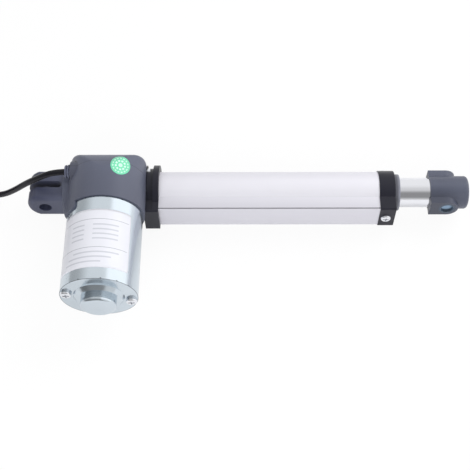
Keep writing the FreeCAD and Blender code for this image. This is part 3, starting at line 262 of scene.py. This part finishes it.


# The outer tube: painted shade on the front and the shelf, and painted shade in the grooves beside the flat
# front
tube = dict(
    dull=(190, 189, 197), slopeFrom=8 * mm, slopeTo=24 * mm, slopeShadeShare=0.50,
    shelfHeight=11.9 * mm, shelfFrom=-11.6 * mm, shelfShadeShare=0.32,
    groove=(70, 68, 74), grooveFrom=11.35 * mm, grooveTo=11.97 * mm, grooveAt=-22.4 * mm,
    grooveHalf=0.5 * mm, grooveShadeShare=0.6,
)


def tubeDetail(wire, place, shade):
    # Painted shade: the front slope and the shelf blend towards the dull colour, and the grooves darken
    along = axisOf(wire, place, "Y")
    up = abs(axisOf(wire, place, "Z"))
    slope = step(wire, 0.0 - along, tube["slopeFrom"], tube["slopeTo"]) * tube["slopeShadeShare"]
    shelf = (up > tube["shelfHeight"]) * (along < tube["shelfFrom"]) * tube["shelfShadeShare"]
    shade = blendColours(wire, slope + shelf, shade, linear(*tube["dull"]))
    high = (up > tube["grooveFrom"]) * (up < tube["grooveTo"])
    groove = high * (abs(along - tube["grooveAt"]) < tube["grooveHalf"])
    return blendColours(wire, groove * tube["grooveShadeShare"], shade, linear(*tube["groove"]))


# The cross bore of the head: painted shade in its bush and on the end faces, and painted light low inside,
# which glows
bore = dict(
    x=middleOf("head_bush", "x"), radius=5.3 * mm, dark=(52, 60, 76), insideShadeShare=0.75,
    endFrom=15.6 * mm, endShadeShare=0.92,
    glow=(126, 148, 170), lowFrom=-4.6 * mm, lowTo=-0.5 * mm, glowAt=-10.9 * mm,
    glowFade=(0.8 * mm, 2.6 * mm),
)


def insideBore(wire, place):
    return distance(wire, place, "X", bore["x"], "Z", 0.0) < bore["radius"]


def boreDetail(wire, place, shade):
    # Painted shade inside the bore and on the bush's end faces
    inside = insideBore(wire, place)
    ends = (abs(axisOf(wire, place, "Y")) > bore["endFrom"]) * (1.0 - inside)
    dark = inside * bore["insideShadeShare"] + ends * bore["endShadeShare"]
    return blendColours(wire, dark, shade, linear(*bore["dark"]))


def paintedBoreLight(wire, place):
    # Painted light: a glow low inside the bore
    low = 1.0 - step(wire, axisOf(wire, place, "Z"), bore["lowFrom"], bore["lowTo"])
    deep = near(wire, axisOf(wire, place, "Y"), bore["glowAt"], *bore["glowFade"])
    share = insideBore(wire, place) * low * deep
    return blendColours(wire, share, (0.0, 0.0, 0.0), linear(*bore["glow"]))


details = {
    "gearboxPlastic": casingDetail, "clevisGrey": clevisDetail, "headGrey": headDetail,
    "bushPlastic": lipDetail, "platedSteel": canDetail, "tubeAluminium": tubeDetail,
    "bushSteel": boreDetail,
}

# Moulded plastics and paint: a fine grain, slow changes of shade, and dust
plastics = {
    "gearboxPlastic": dict(colour=(83, 87, 104), second=(91, 95, 111), rough=0.44, grain=0.32, size=2600.0),
    "clevisGrey": dict(colour=(54, 57, 77), second=(62, 66, 86), rough=0.40, grain=0.25, size=1500.0),
    "headGrey": dict(colour=(70, 74, 89), second=(80, 84, 99), rough=0.38, grain=0.22, size=1500.0),
    "blackPlastic": dict(colour=(25, 25, 34), second=(31, 31, 41), rough=0.36, grain=0.25, size=2600.0,
                         shine=0.28),
    "bushPlastic": dict(colour=(122, 124, 136), second=(136, 138, 149), rough=0.42, grain=0.15, size=2000.0),
    "wheelPlastic": dict(colour=(222, 218, 204), second=(229, 226, 214), rough=0.4, grain=0.12, size=2000.0),
    "sealRubber": dict(colour=(36, 36, 39), second=(44, 44, 48), rough=0.6, grain=0.4, size=3000.0),
    "glandRubber": dict(colour=(82, 86, 105), second=(92, 96, 114), rough=0.5, grain=0.35, size=3000.0),
    "switchBlack": dict(colour=(34, 34, 36), second=(42, 42, 44), rough=0.45, grain=0.2, size=3000.0),
    "plugPlastic": dict(colour=(38, 38, 42), second=(46, 46, 51), rough=0.45, grain=0.4, size=2400.0),
    "boardBrown": dict(colour=(148, 110, 72), second=(160, 122, 82), rough=0.55, grain=0.3, size=2200.0),
    "boardGreen": dict(colour=(40, 112, 66), second=(48, 124, 74), rough=0.35, grain=0.15, size=2200.0),
    "ferrite": dict(colour=(66, 66, 70), second=(78, 78, 82), rough=0.65, grain=0.5, size=1800.0),
    "carbon": dict(colour=(44, 44, 46), second=(54, 54, 56), rough=0.5, grain=0.4, size=2600.0),
}
moulding = dict(
    slowSize=55.0, speckSize=900.0, speckFrom=0.80, speckTo=0.84, speckShare=0.18, speck=(190, 190, 195),
    dull=0.16, matt=0.06, deep=0.05 * mm,
)


def plasticLook(name, colour, second, rough, grain, size, shine=0.45):
    # Grain from fine noise, shade from coarse noise, and a few pale specks of dust
    material, wire, place, shader = newLook(name, {"Specular IOR Level": shine})
    fine = noise(wire, place, size, 2.0, 0.6)
    slow = noise(wire, place, moulding["slowSize"], 3.0)
    specks = noise(wire, place, moulding["speckSize"], 1.0)
    specks = step(wire, specks, moulding["speckFrom"], moulding["speckTo"])
    shade = blendColours(wire, slow, linear(*colour), linear(*second))
    if name in details:
        shade = details[name](wire, place, shade)
    if name == "gearboxPlastic":
        fine = fine - seamLine(wire, place) * casing["seamDepth"]
    shade = blendColours(wire, specks * moulding["speckShare"], shade, linear(*moulding["speck"]))
    dull = (slow - 0.5) * moulding["dull"] + (fine - 0.5) * moulding["matt"]
    feed(shader, Base_Color=shade, Roughness=rough + dull)
    feed(shader, Normal=bump(wire, fine, grain, moulding["deep"]))
    return material


# Metals: draw lists how the tool marks are stretched along X, Y and Z
metals = {
    "tubeAluminium": dict(colour=(214, 213, 220), second=(220, 219, 226),
                          rough=0.48, draw=(12.0, 900.0, 900.0), marks=0.10, metal=0.25),
    "platedSteel": dict(colour=(193, 203, 211), second=(208, 217, 224),
                        rough=0.20, draw=(160.0, 35.0, 160.0), marks=0.10, metal=1.0),
    "rodChrome": dict(colour=(226, 227, 232), second=(234, 235, 239),
                      rough=0.13, draw=(1500.0, 40.0, 40.0), marks=0.05, metal=1.0),
    "screwSteel": dict(colour=(224, 226, 231), second=(236, 238, 242),
                       rough=0.24, draw=(400.0, 400.0, 400.0), marks=0.12, metal=1.0),
    "bushSteel": dict(colour=(172, 192, 212), second=(188, 206, 222),
                      rough=0.36, draw=(300.0, 60.0, 300.0), marks=0.10, metal=0.6),
    "bearingSteel": dict(colour=(196, 198, 201), second=(208, 210, 212),
                         rough=0.18, draw=(900.0, 60.0, 60.0), marks=0.06, metal=1.0),
    "spindleSteel": dict(colour=(170, 172, 176), second=(186, 188, 191),
                         rough=0.28, draw=(700.0, 90.0, 90.0), marks=0.12, metal=1.0),
    "coreSteel": dict(colour=(118, 119, 123), second=(138, 139, 143),
                      rough=0.42, draw=(60.0, 1900.0, 60.0), marks=0.25, metal=1.0),
    "nutBrass": dict(colour=(196, 168, 104), second=(208, 182, 120),
                     rough=0.28, draw=(700.0, 90.0, 90.0), marks=0.12, metal=1.0),
    "sinteredBronze": dict(colour=(168, 134, 92), second=(184, 150, 108),
                           rough=0.45, draw=(1500.0, 1500.0, 1500.0), marks=0.30, metal=1.0),
    "copper": dict(colour=(190, 122, 84), second=(206, 138, 98),
                   rough=0.30, draw=(800.0, 250.0, 250.0), marks=0.25, metal=1.0),
}
handling = dict(cloudSize=70.0, cloudShare=0.6, lineShare=0.4, dull=0.12, streak=0.10, deep=0.03 * mm)


def metalLook(name, colour, second, rough, draw, marks, metal):
    # Tool marks are noise drawn out along the work; handling leaves slow dull clouds
    material, wire, place, shader = newLook(name, {"Metallic": metal})
    stretched = wire.node("Mapping", None, {"Vector": place, "Scale": draw})
    lines = noise(wire, stretched, 1.0, 3.0, 0.6)
    clouds = noise(wire, place, handling["cloudSize"], 4.0, 0.6)
    mixed = clouds * handling["cloudShare"] + lines * handling["lineShare"]
    shade = blendColours(wire, mixed, linear(*colour), linear(*second))
    if name in details:
        shade = details[name](wire, place, shade)
    # The bush's bore gets painted light through its emission
    if name == "bushSteel":
        feed(shader, Emission_Color=paintedBoreLight(wire, place))
        shader.inputs["Emission Strength"].default_value = 1.0
    dull = (clouds - 0.5) * handling["dull"] + (lines - 0.5) * handling["streak"]
    feed(shader, Base_Color=shade, Roughness=rough + dull)
    feed(shader, Normal=bump(wire, lines, marks, handling["deep"]))
    return material


looks = {name: plasticLook(name, **values) for name, values in plastics.items()}
looks.update({name: metalLook(name, **values) for name, values in metals.items()})

finishOf = {
    "rear_clevis": "clevisGrey", "gearbox_housing": "gearboxPlastic", "gearbox_cover": "gearboxPlastic",
    "tube_socket": "blackPlastic", "socket_screws": "screwSteel", "outer_tube": "tubeAluminium",
    "tube_gasket": "sealRubber", "end_cap": "blackPlastic", "end_cap_screws": "screwSteel",
    "guide_bush": "bushPlastic", "wiper_seal": "sealRubber", "rod": "rodChrome", "rod_end_head": "headGrey",
    "head_bush": "bushSteel", "drive_nut": "nutBrass", "spindle": "spindleSteel",
    "spindle_guide": "wheelPlastic", "spindle_spacers": "spindleSteel", "bearing_outer_rings": "bearingSteel",
    "bearing_inner_rings": "bearingSteel", "bearing_balls": "bearingSteel", "worm_wheel": "wheelPlastic",
    "rotor_shaft": "spindleSteel", "worm_bush": "sinteredBronze", "cover_screws": "screwSteel",
    "motor_can": "platedSteel", "motor_front_plate": "platedSteel", "motor_end_bell": "platedSteel",
    "motor_tie_bolts": "screwSteel", "motor_bushes": "sinteredBronze", "magnets": "ferrite",
    "armature_core": "coreSteel", "armature_windings": "copper", "commutator": "copper",
    "brush_holder": "boardBrown", "brushes": "carbon", "brush_springs": "spindleSteel",
    "switch_board": "boardGreen", "limit_switches": "switchBlack", "cable_gland": "glandRubber",
    "power_plug": "plugPlastic",
}
for name, finish in finishOf.items():
    slots = nodes[name].data.materials
    if len(slots) == 0:
        slots.append(looks[finish])
    for k in range(len(slots)):
        slots[k] = looks[finish]
print("finishes", len(looks), "on", len(finishOf), "nodes")


def gridPiece(name, points, uv, material, wrap=False):
    # points is an array of rows by columns by 3; neighbours in it are joined by four-sided faces
    rows, columns = points.shape[:2]
    number = np.arange(rows * columns).reshape(rows, columns)
    if wrap:
        number = np.concatenate([number, number[:, :1]], axis=1)
    corners = [number[:-1, :-1], number[1:, :-1], number[1:, 1:], number[:-1, 1:]]
    faces = np.stack(corners, axis=-1).reshape(-1, 4)
    mesh = bpy.data.meshes.new(name)
    mesh.from_pydata(points.reshape(-1, 3), [], faces)
    if uv is not None:
        layer = mesh.uv_layers.new(name="flat")
        corner = uv.reshape(-1, 2)[faces.reshape(-1)]
        layer.data.foreach_set("uv", corner.astype(np.float32).reshape(-1))
    mesh.polygons.foreach_set("use_smooth", np.ones(len(faces), bool))
    mesh.materials.append(material)
    piece = bpy.data.objects.new(name, mesh)
    bpy.context.scene.collection.objects.link(piece)
    return piece


def wall(piece, thickness):
    # Gives a sheet its thickness, outwards from the face that touches the part
    solid = piece.modifiers.new("thickness", "SOLIDIFY")
    solid.thickness = thickness
    solid.offset = 1.0


# The blank label round the motor. Its bars and rules are shares of its own width and length
label = dict(
    radius=29.54, first=-96.0, last=51.0, front=-44.6, back=-94.6, round=2.0, thick=0.08,
    film=(209, 210, 218), light=(218, 219, 226), rule=(112, 116, 126), bar=(158, 161, 171),
    margin=0.03, rules=(0.175, 0.66), ruleHalf=0.0035, barHalf=0.012,
    columns=((0.36, 0.51), (0.60, 0.86)), columnRows=(0.27, 0.35, 0.43, 0.51),
    bars=((0.74, 0.40, 0.88), (0.82, 0.34, 0.80), (0.90, 0.30, 0.70)),
)


def labelLook():
    # Rules are thin bands of the label's own v, and bars lie between two of its u
    material, wire, place, shader = newLook("labelFilm", {"Coat Weight": 0.25, "Coat Roughness": 0.2})
    flat = wire.node("UVMap", {"uv_map": "flat"})
    across = axisOf(wire, flat, "X")
    along = axisOf(wire, flat, "Y")
    inside = (across > label["margin"]) * (across < 1 - label["margin"])
    rules = sum((abs(along - height) < label["ruleHalf"]) * inside for height in label["rules"])
    bars = [(height, *column) for height in label["columnRows"] for column in label["columns"]]
    fields = sum(
        (abs(along - height) < label["barHalf"]) * (across > start) * (across < end)
        for height, start, end in bars + list(label["bars"])
    )
    cloud = noise(wire, place, 90.0, 3.0)
    shade = blendColours(wire, cloud, linear(*label["film"]), linear(*label["light"]))
    shade = blendColours(wire, fields * 0.5, shade, linear(*label["bar"]))
    shade = blendColours(wire, rules * 0.8, shade, linear(*label["rule"]))
    feed(shader, Base_Color=shade, Roughness=0.34 + (cloud - 0.5) * 0.1)
    feed(shader, Normal=bump(wire, noise(wire, place, 1500.0, 2.0), 0.05, 0.03 * mm))
    return material


def makeLabel():
    # A band of a cylinder: u turns round the motor's axis, v runs along it, and the corners are
    # pulled in along v by the depth of a quarter circle
    x0, z0 = can["x"] / mm, can["z"] / mm
    u, v = np.meshgrid(np.linspace(0, 1, 97), np.linspace(0, 1, 25), indexing="ij")
    turn = np.radians(label["first"] + (label["last"] - label["first"]) * u)
    width = math.radians(label["last"] - label["first"]) * label["radius"]
    edge = np.clip(label["round"] - np.minimum(u, 1 - u) * width, 0, label["round"])
    inset = label["round"] - np.sqrt(label["round"] ** 2 - edge ** 2)
    y = (label["front"] - inset) + v * (label["back"] - label["front"] + 2 * inset)
    points = np.stack([x0 + label["radius"] * np.sin(turn), y, z0 + label["radius"] * np.cos(turn)], axis=-1)
    piece = gridPiece("motor_label", points * mm, np.stack([u, v], axis=-1), labelLook())
    wall(piece, label["thick"] * mm)
    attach(piece, "housing")


# The round inspection sticker on the gearbox: plain rings of dashes round a pale middle. A ring lists
# its radius, its fade, how close its dashes are, where they break and how pale they are
sticker = dict(
    middle=(65.1, -4.0, 46.0), axis=(0.18, -0.40, 0.90), radius=7.9, lift=0.04, thick=0.07, above=30.0,
    green=(92, 198, 152), light=(112, 208, 170), pale=(216, 240, 228),
    rings=((0.76, 0.05, 0.09, 15.0, -0.2, 0.6), (0.46, 0.07, 0.11, 9.0, -0.3, 0.75)),
    spot=(0.16, 0.24), spotShare=0.7,
)


def stickerLook():
    # Rings follow the distance from the sticker's middle, which is its own u, and the dashes follow
    # the turn round it, its v
    material, wire, place, shader = newLook("stickerFilm", {"Coat Weight": 0.3, "Coat Roughness": 0.15})
    flat = wire.node("UVMap", {"uv_map": "flat"})
    out = axisOf(wire, flat, "X")
    turn = axisOf(wire, flat, "Y")
    pale = (1.0 - step(wire, out, *sticker["spot"])) * sticker["spotShare"]
    for radius, inner, outer, close, gap, share in sticker["rings"]:
        dashes = wire.sums("SINE", turn * close) > gap
        pale = pale + near(wire, out, radius, inner, outer) * dashes * share
    cloud = noise(wire, place, 400.0, 3.0)
    shade = blendColours(wire, cloud, linear(*sticker["green"]), linear(*sticker["light"]))
    shade = blendColours(wire, pale, shade, linear(*sticker["pale"]))
    feed(shader, Base_Color=shade, Roughness=0.3 + (cloud - 0.5) * 0.12)
    return material


def fallOnto(start, axis):
    # How far below a place the gearbox lies, looking down the axis from a little above
    above = sticker["above"] * mm
    depths = []
    for name in ("gearbox_housing", "gearbox_cover"):
        hit, place, normal, face = nodes[name].ray_cast(start + axis * above, -axis)
        if hit:
            depths.append((start + axis * above - place).length - above)
    return min(depths)


def makeSticker():
    # A flat disc, u from its middle and v round it, dropped along its axis onto the gearbox by ray
    # casts, which take one place at a time
    axis = Vector(sticker["axis"]).normalized()
    across = axis.cross(Vector((0.0, 1.0, 0.0))).normalized()
    along = axis.cross(across)
    middle = Vector(sticker["middle"]) * mm
    u, v = np.meshgrid(np.linspace(0.02, 1, 20), np.linspace(0, 2 * np.pi, 96, endpoint=False), indexing="ij")
    points = np.zeros((*u.shape, 3))
    for place in np.ndindex(u.shape):
        out = sticker["radius"] * mm * u[place]
        start = middle + across * out * math.cos(v[place]) + along * out * math.sin(v[place])
        points[place] = start + axis * (sticker["lift"] * mm - fallOnto(start, axis))
    piece = gridPiece("round_sticker", points, np.stack([u, v], axis=-1), stickerLook(), wrap=True)
    wall(piece, -sticker["thick"] * mm)
    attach(piece, "housing")


makeLabel()
makeSticker()
print("label and sticker")


# The screw and the nut's inner thread: a right-hand trapezoidal thread, 4 mm to a turn
screw = dict(
    lead=4.0, crest=7.0, depth=1.9, flat=0.30, flank=0.20, start=78.5, end=271.0, runOut=2.0,
    perTurn=16, around=48, sharp=40.0,
    steps=((25.8, 0.0), (25.8, 6.0), (74.0, 6.0), (74.0, 8.0), (77.0, 8.0), (77.0, 7.0)),
    tip=((272.0, 7.0), (272.0, 4.5), (276.0, 4.5), (276.0, 0.0)),
    nutFrom=95.5, nutTo=118.5, nutBore=7.05, nutWall=0.05, play=0.08, gap=0.15,
)


def threadDepth(x, turn, play=0.0):
    # How deep the thread is at a place: the place along the lead, less the turn round it, gives a
    # crest, a sloping flank, a root and the other flank; play makes the groove narrower
    phase = np.mod(x / screw["lead"] - turn / (2 * np.pi), 1.0)
    away = np.abs(phase - 0.5) * 2  # 1 on the crest and 0 on the root
    return screw["depth"] * np.clip((1 - screw["flat"] - play - away) / (2 * screw["flank"]), 0, 1)


def threadGrid(start, end):
    # The places along the screw and the turns round it at which its thread is worked out
    rows = int((end - start) / screw["lead"] * screw["perTurn"])
    return np.linspace(start, end, rows), np.linspace(0, 2 * np.pi, screw["around"], endpoint=False)


def turnedPoints(x, radius, turn):
    # Rings of a lathe-turned form: each row has its x, and its radius may differ round the ring
    return np.stack([
        np.broadcast_to(x[:, None], radius.shape),
        radius * np.cos(turn)[None, :],
        radius * np.sin(turn)[None, :],
    ], axis=-1)


def makeSpindle():
    # Shoulders come from the list of steps; between start and end the thread is cut into the crest,
    # and runs out at both ends
    x, turn = threadGrid(screw["start"], screw["end"])
    fade = np.clip(np.minimum(x - x[0], x[-1] - x) / screw["runOut"], 0, 1)
    cut = screw["crest"] - threadDepth(x[:, None], turn[None, :]) * fade[:, None]
    before = np.array(screw["steps"])
    after = np.array(screw["tip"])
    flat = np.ones(screw["around"])[None, :]
    radius = np.concatenate([before[:, 1:] * flat, cut, after[:, 1:] * flat])
    place = np.concatenate([before[:, 0], x, after[:, 0]])
    points = turnedPoints(place, np.maximum(radius, 0.01), turn)
    piece = gridPiece("threaded_spindle", points * mm, None, looks["spindleSteel"], wrap=True)
    piece.data.set_sharp_from_angle(angle=math.radians(screw["sharp"]))
    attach(piece, "spindle_body")
    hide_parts("spindle")


def makeNutThread():
    # The nut's thread fills the screw's groove: a sleeve whose bore is the screw's form, a hair larger.
    # It ends before the nut does, so that it never reaches the screw's run-out
    x, turn = threadGrid(screw["nutFrom"], screw["nutTo"])
    ridge = threadDepth(x[:, None], turn[None, :], screw["play"])
    bored = screw["nutBore"] - np.maximum(ridge - screw["gap"], 0)
    outside = np.full((1, screw["around"]), screw["nutBore"] + screw["nutWall"])
    radius = np.concatenate([outside, bored[::-1], outside])
    place = np.concatenate([x[-1:], x[::-1], x[:1]])
    points = turnedPoints(place, radius, turn)
    piece = gridPiece("nut_thread", points * mm, None, looks["nutBrass"], wrap=True)
    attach(piece, "rod_body")


makeSpindle()
makeNutThread()
print("screw and nut thread")


# The lead: out of the gland, over the clevis to the floor, four and a half turns of coil, and the
# plug. The coil's marks are degrees of winding: where a turn begins to change its place, and where the
# lower turns, the inmost one, the climb, the upper turn, the next change and the whole winding end
lead = dict(
    radius=2.5, floor=-22.3, centre=(-105.0, 26.0), inner=22.5, pitch=5.0, perTurn=20,
    change=300.0, lowerTo=720.0, inmostTo=960.0, climbTo=1020.0, upperTo=1260.0, nextTo=1320.0, wound=1620.0,
    route=[(27.0, 0.0, 31.0), (11.0, 0.0, 31.0), (-3.0, 0.5, 21.8), (-15.5, 2.0, 11.2), (-28.0, 4.8, -3.2),
           (-40.5, 8.3, -15.8), (-56.0, 10.5, -19.8), (-73.0, 6.0, -19.8), (-90.0, -4.5, -19.8)],
    tail=[(-99.0, 57.4, -15.2), (-94.0, 60.0, -16.2), (-90.0, 60.9, -18.0), (-86.0, 61.4, -18.55)],
)


def coilPlace(turned):
    # Radius and height of the winding after so many degrees: turns lie side by side, change to the
    # next place in the last sixth of a turn, climb over their neighbours, and nest in two layers
    inner, pitch = lead["inner"], lead["pitch"]
    part = (turned % 360 - lead["change"]) / (360 - lead["change"])
    change = min(max(part, 0.0), 1.0)
    high = math.sqrt(pitch ** 2 - (pitch / 2 - pitch * change) ** 2)
    if turned <= lead["lowerTo"]:
        return inner + pitch * (2 - int(turned // 360) - change), 0.0
    if turned <= lead["inmostTo"]:
        return inner, 0.0
    if turned <= lead["climbTo"]:
        roll = math.radians(turned - lead["inmostTo"])  # rolls up round the turn beside it
        return inner + pitch * (1 - math.cos(roll)), pitch * math.sin(roll)
    if turned <= lead["upperTo"]:
        return inner + pitch / 2, high
    if turned <= lead["nextTo"]:
        out = pitch * (turned - lead["upperTo"]) / (lead["nextTo"] - lead["upperTo"])
        return inner + pitch / 2 + out, math.sqrt(pitch ** 2 - (out - pitch / 2) ** 2)
    return inner + 1.5 * pitch, high


def leadPoints():
    # The route, then the coil's points, a little wide so that the curve through them is round
    points = [Vector(p) for p in lead["route"]]
    cx, cy = lead["centre"]
    low = lead["floor"] + lead["radius"]
    widen = 1 / math.cos(math.pi / lead["perTurn"]) ** 0.5
    steps = int(lead["wound"] * lead["perTurn"] / 360)
    for k in range(steps + 1):
        turned = lead["wound"] * k / steps
        radius, height = coilPlace(turned)
        angle = math.radians(-90 - turned)
        x = cx + radius * widen * math.cos(angle)
        y = cy + radius * widen * math.sin(angle)
        points.append(Vector((x, y, low + height)))
    return [p * mm for p in points + [Vector(p) for p in lead["tail"]]]


def cordLook():
    # Glossy sheath: faint drawing lines and slow dull clouds
    material, wire, place, shader = newLook("cableSheath", {"Specular IOR Level": 0.22})
    cloud = noise(wire, place, 120.0, 3.0)
    fine = noise(wire, place, 1800.0, 2.0)
    shade = blendColours(wire, cloud, linear(16, 16, 21), linear(26, 26, 32))
    feed(shader, Base_Color=shade, Roughness=0.22 + (cloud - 0.5) * 0.14)
    feed(shader, Normal=bump(wire, fine, 0.12, 0.03 * mm))
    return material


def lengthOf(curve):
    # The length of a curve's middle line, from a copy without thickness
    bare = curve.copy()
    bare.bevel_depth = 0.0
    probe = bpy.data.objects.new("probe", bare)
    line = bpy.data.meshes.new_from_object(probe)
    co = np.zeros(len(line.vertices) * 3)
    line.vertices.foreach_get("co", co)
    length = float(np.linalg.norm(np.diff(co.reshape(-1, 3), axis=0), axis=1).sum())
    bpy.data.objects.remove(probe)
    bpy.data.curves.remove(bare)
    bpy.data.meshes.remove(line)
    return length


def makeLead():
    curve = bpy.data.curves.new("power_lead", "CURVE")
    curve.dimensions = "3D"
    curve.bevel_depth = lead["radius"] * mm
    curve.bevel_resolution = 5
    curve.resolution_u = 8
    curve.use_fill_caps = True
    spline = curve.splines.new("NURBS")
    points = leadPoints()
    spline.points.add(len(points) - 1)
    for point, place in zip(spline.points, points):
        point.co = (*place, 1.0)
    spline.order_u = 3
    spline.use_endpoint_u = True
    curve.materials.append(cordLook())
    piece = bpy.data.objects.new("power_lead", curve)
    bpy.context.scene.collection.objects.link(piece)
    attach(piece, "housing")
    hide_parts("power_cable", "cable_coil", "cable_tail")
    length = lengthOf(curve)
    print("lead", round(length, 4), "m")


makeLead()

# The photograph's camera and a pale tent. A band of the sky lists where it begins, where it is full
# and how much it adds, along the direction to the front, to the left or to the right
studio = dict(
    place=(0.159587, -0.443517, 0.690769), right=(0.99997288, 0.0028816, -0.00677814),
    up=(0.00093016, 0.8635097, 0.50433138), back=(0.00730627, -0.504324, 0.86348359),
    focal=1003.95, pixels=470, sensor=36.0,
    sky=1.0, skyDiffuse=0.56, frontBands=((-0.5, 0.2, -0.25), (0.2, 0.65, -0.43), (0.93, 1.0, 0.38)),
    leftBand=(0.35, 0.85, 0.46), rightBand=(0.30, 0.45, 0.5),
)
floor = dict(
    reach=1.5, below=0.4, first=(0.84, 0.84, 0.85), second=(0.86, 0.86, 0.87), toCamera=0.92, toMirrors=0.5,
)
lamps = dict(
    key_lamp=dict(place=(0.75, 0.45, 0.75), aim=(0.12, 0.0, 0.0), size=(0.7, 0.7), power=7.0),
    left_lamp=dict(place=(-0.75, 0.05, 0.55), aim=(0.03, 0.0, 0.0), size=(0.6, 0.6), power=1.2),
    fill_lamp=dict(place=(0.15, -0.85, 0.60), aim=(0.1, 0.0, 0.0), size=(0.8, 0.5), power=6.2),
)


def makeCamera():
    data = bpy.data.cameras.new("photo_camera")
    data.lens = studio["sensor"] * studio["focal"] / studio["pixels"]
    data.sensor_width = studio["sensor"]
    data.clip_start = 0.01
    camera = bpy.data.objects.new("photo_camera", data)
    axes = Matrix((studio["right"], studio["up"], studio["back"])).transposed()
    camera.matrix_world = Matrix.Translation(studio["place"]) @ axes.to_4x4()
    bpy.context.scene.collection.objects.link(camera)
    bpy.context.scene.camera = camera


def makeLamp(name, place, aim, size, power):
    data = bpy.data.lights.new(name, "AREA")
    data.shape = "RECTANGLE"
    data.size, data.size_y = size
    data.energy = power
    lamp = bpy.data.objects.new(name, data)
    lamp.location = place
    lamp.visible_glossy = False  # mirrors see the tent alone
    lamp.rotation_euler = (Vector(aim) - Vector(place)).to_track_quat("-Z", "Y").to_euler()
    bpy.context.scene.collection.objects.link(lamp)


def band(wire, value, low, high, change):
    return step(wire, value, low, high) * change


def makeWorld():
    # White to the camera and through glass. Mirrors see a pale tent: darker in front, dim on the left,
    # and a brighter panel on the right
    world = bpy.data.worlds.new("studio_world")
    world.use_nodes = True
    tree = world.node_tree
    wire = Wire(tree)
    camera = wire.node("LightPath", output="Is Camera Ray")
    glossy = wire.node("LightPath", output="Is Glossy Ray")
    through = wire.node("LightPath", output="Is Transmission Ray")
    way = wire.node("TexCoord", output="Generated")
    side = axisOf(wire, way, "X")
    front = 0.0 - axisOf(wire, way, "Y")
    sky = studio["sky"] + sum(band(wire, front, *values) for values in studio["frontBands"])
    left = band(wire, 0.0 - side, *studio["leftBand"])
    mirror = sky * (1.0 - left) + band(wire, side, *studio["rightBand"])
    seen = camera + through
    strength = seen + glossy * mirror + (1.0 - seen - glossy) * studio["skyDiffuse"]
    background = tree.nodes["Background"]
    tree.links.new(strength.socket, background.inputs["Strength"])
    background.inputs["Color"].default_value = (1.0, 1.0, 1.0, 1.0)
    bpy.context.scene.world = world


def makeFloor():
    # A wide pale sheet just under the part; it keeps the shadow and is white to the camera
    reach = np.array([-floor["reach"], floor["reach"]])
    x, y = np.meshgrid(reach, reach, indexing="ij")
    height = (lead["floor"] - floor["below"]) * mm
    points = np.stack([x, y, np.full_like(x, height)], axis=-1)
    material, wire, place, shader = newLook("floorPaper", {"Roughness": 0.9, "Specular IOR Level": 0.1})
    grain = noise(wire, place, 500.0, 2.0)
    feed(shader, Base_Color=blendColours(wire, grain, floor["first"], floor["second"]))
    camera = wire.node("LightPath", output="Is Camera Ray")
    mirror = wire.node("LightPath", output="Is Glossy Ray")
    share = camera * floor["toCamera"] + mirror * floor["toMirrors"]
    glow = wire.node("Emission", None, {"Color": (1.0, 1.0, 1.0, 1.0), "Strength": 1.0})
    paper = Wire(material.node_tree, shader.outputs[0])
    mixed = wire.node("MixShader", None, {0: share, 1: paper, 2: glow})
    sink = material.node_tree.nodes["Material Output"]
    material.node_tree.links.new(mixed.socket, sink.inputs["Surface"])
    gridPiece("studio_floor", points, None, material)


makeCamera()
makeWorld()
makeFloor()
for name, values in lamps.items():
    makeLamp(name, **values)
bpy.context.scene.view_settings.view_transform = "Standard"
print("studio")

# Edges of the solids that turn by more than this many degrees are sharp, and the rest are smooth
sharpFrom = 30
for node in nodes.values():
    node.data.set_sharp_from_angle(angle=math.radians(sharpFrom))
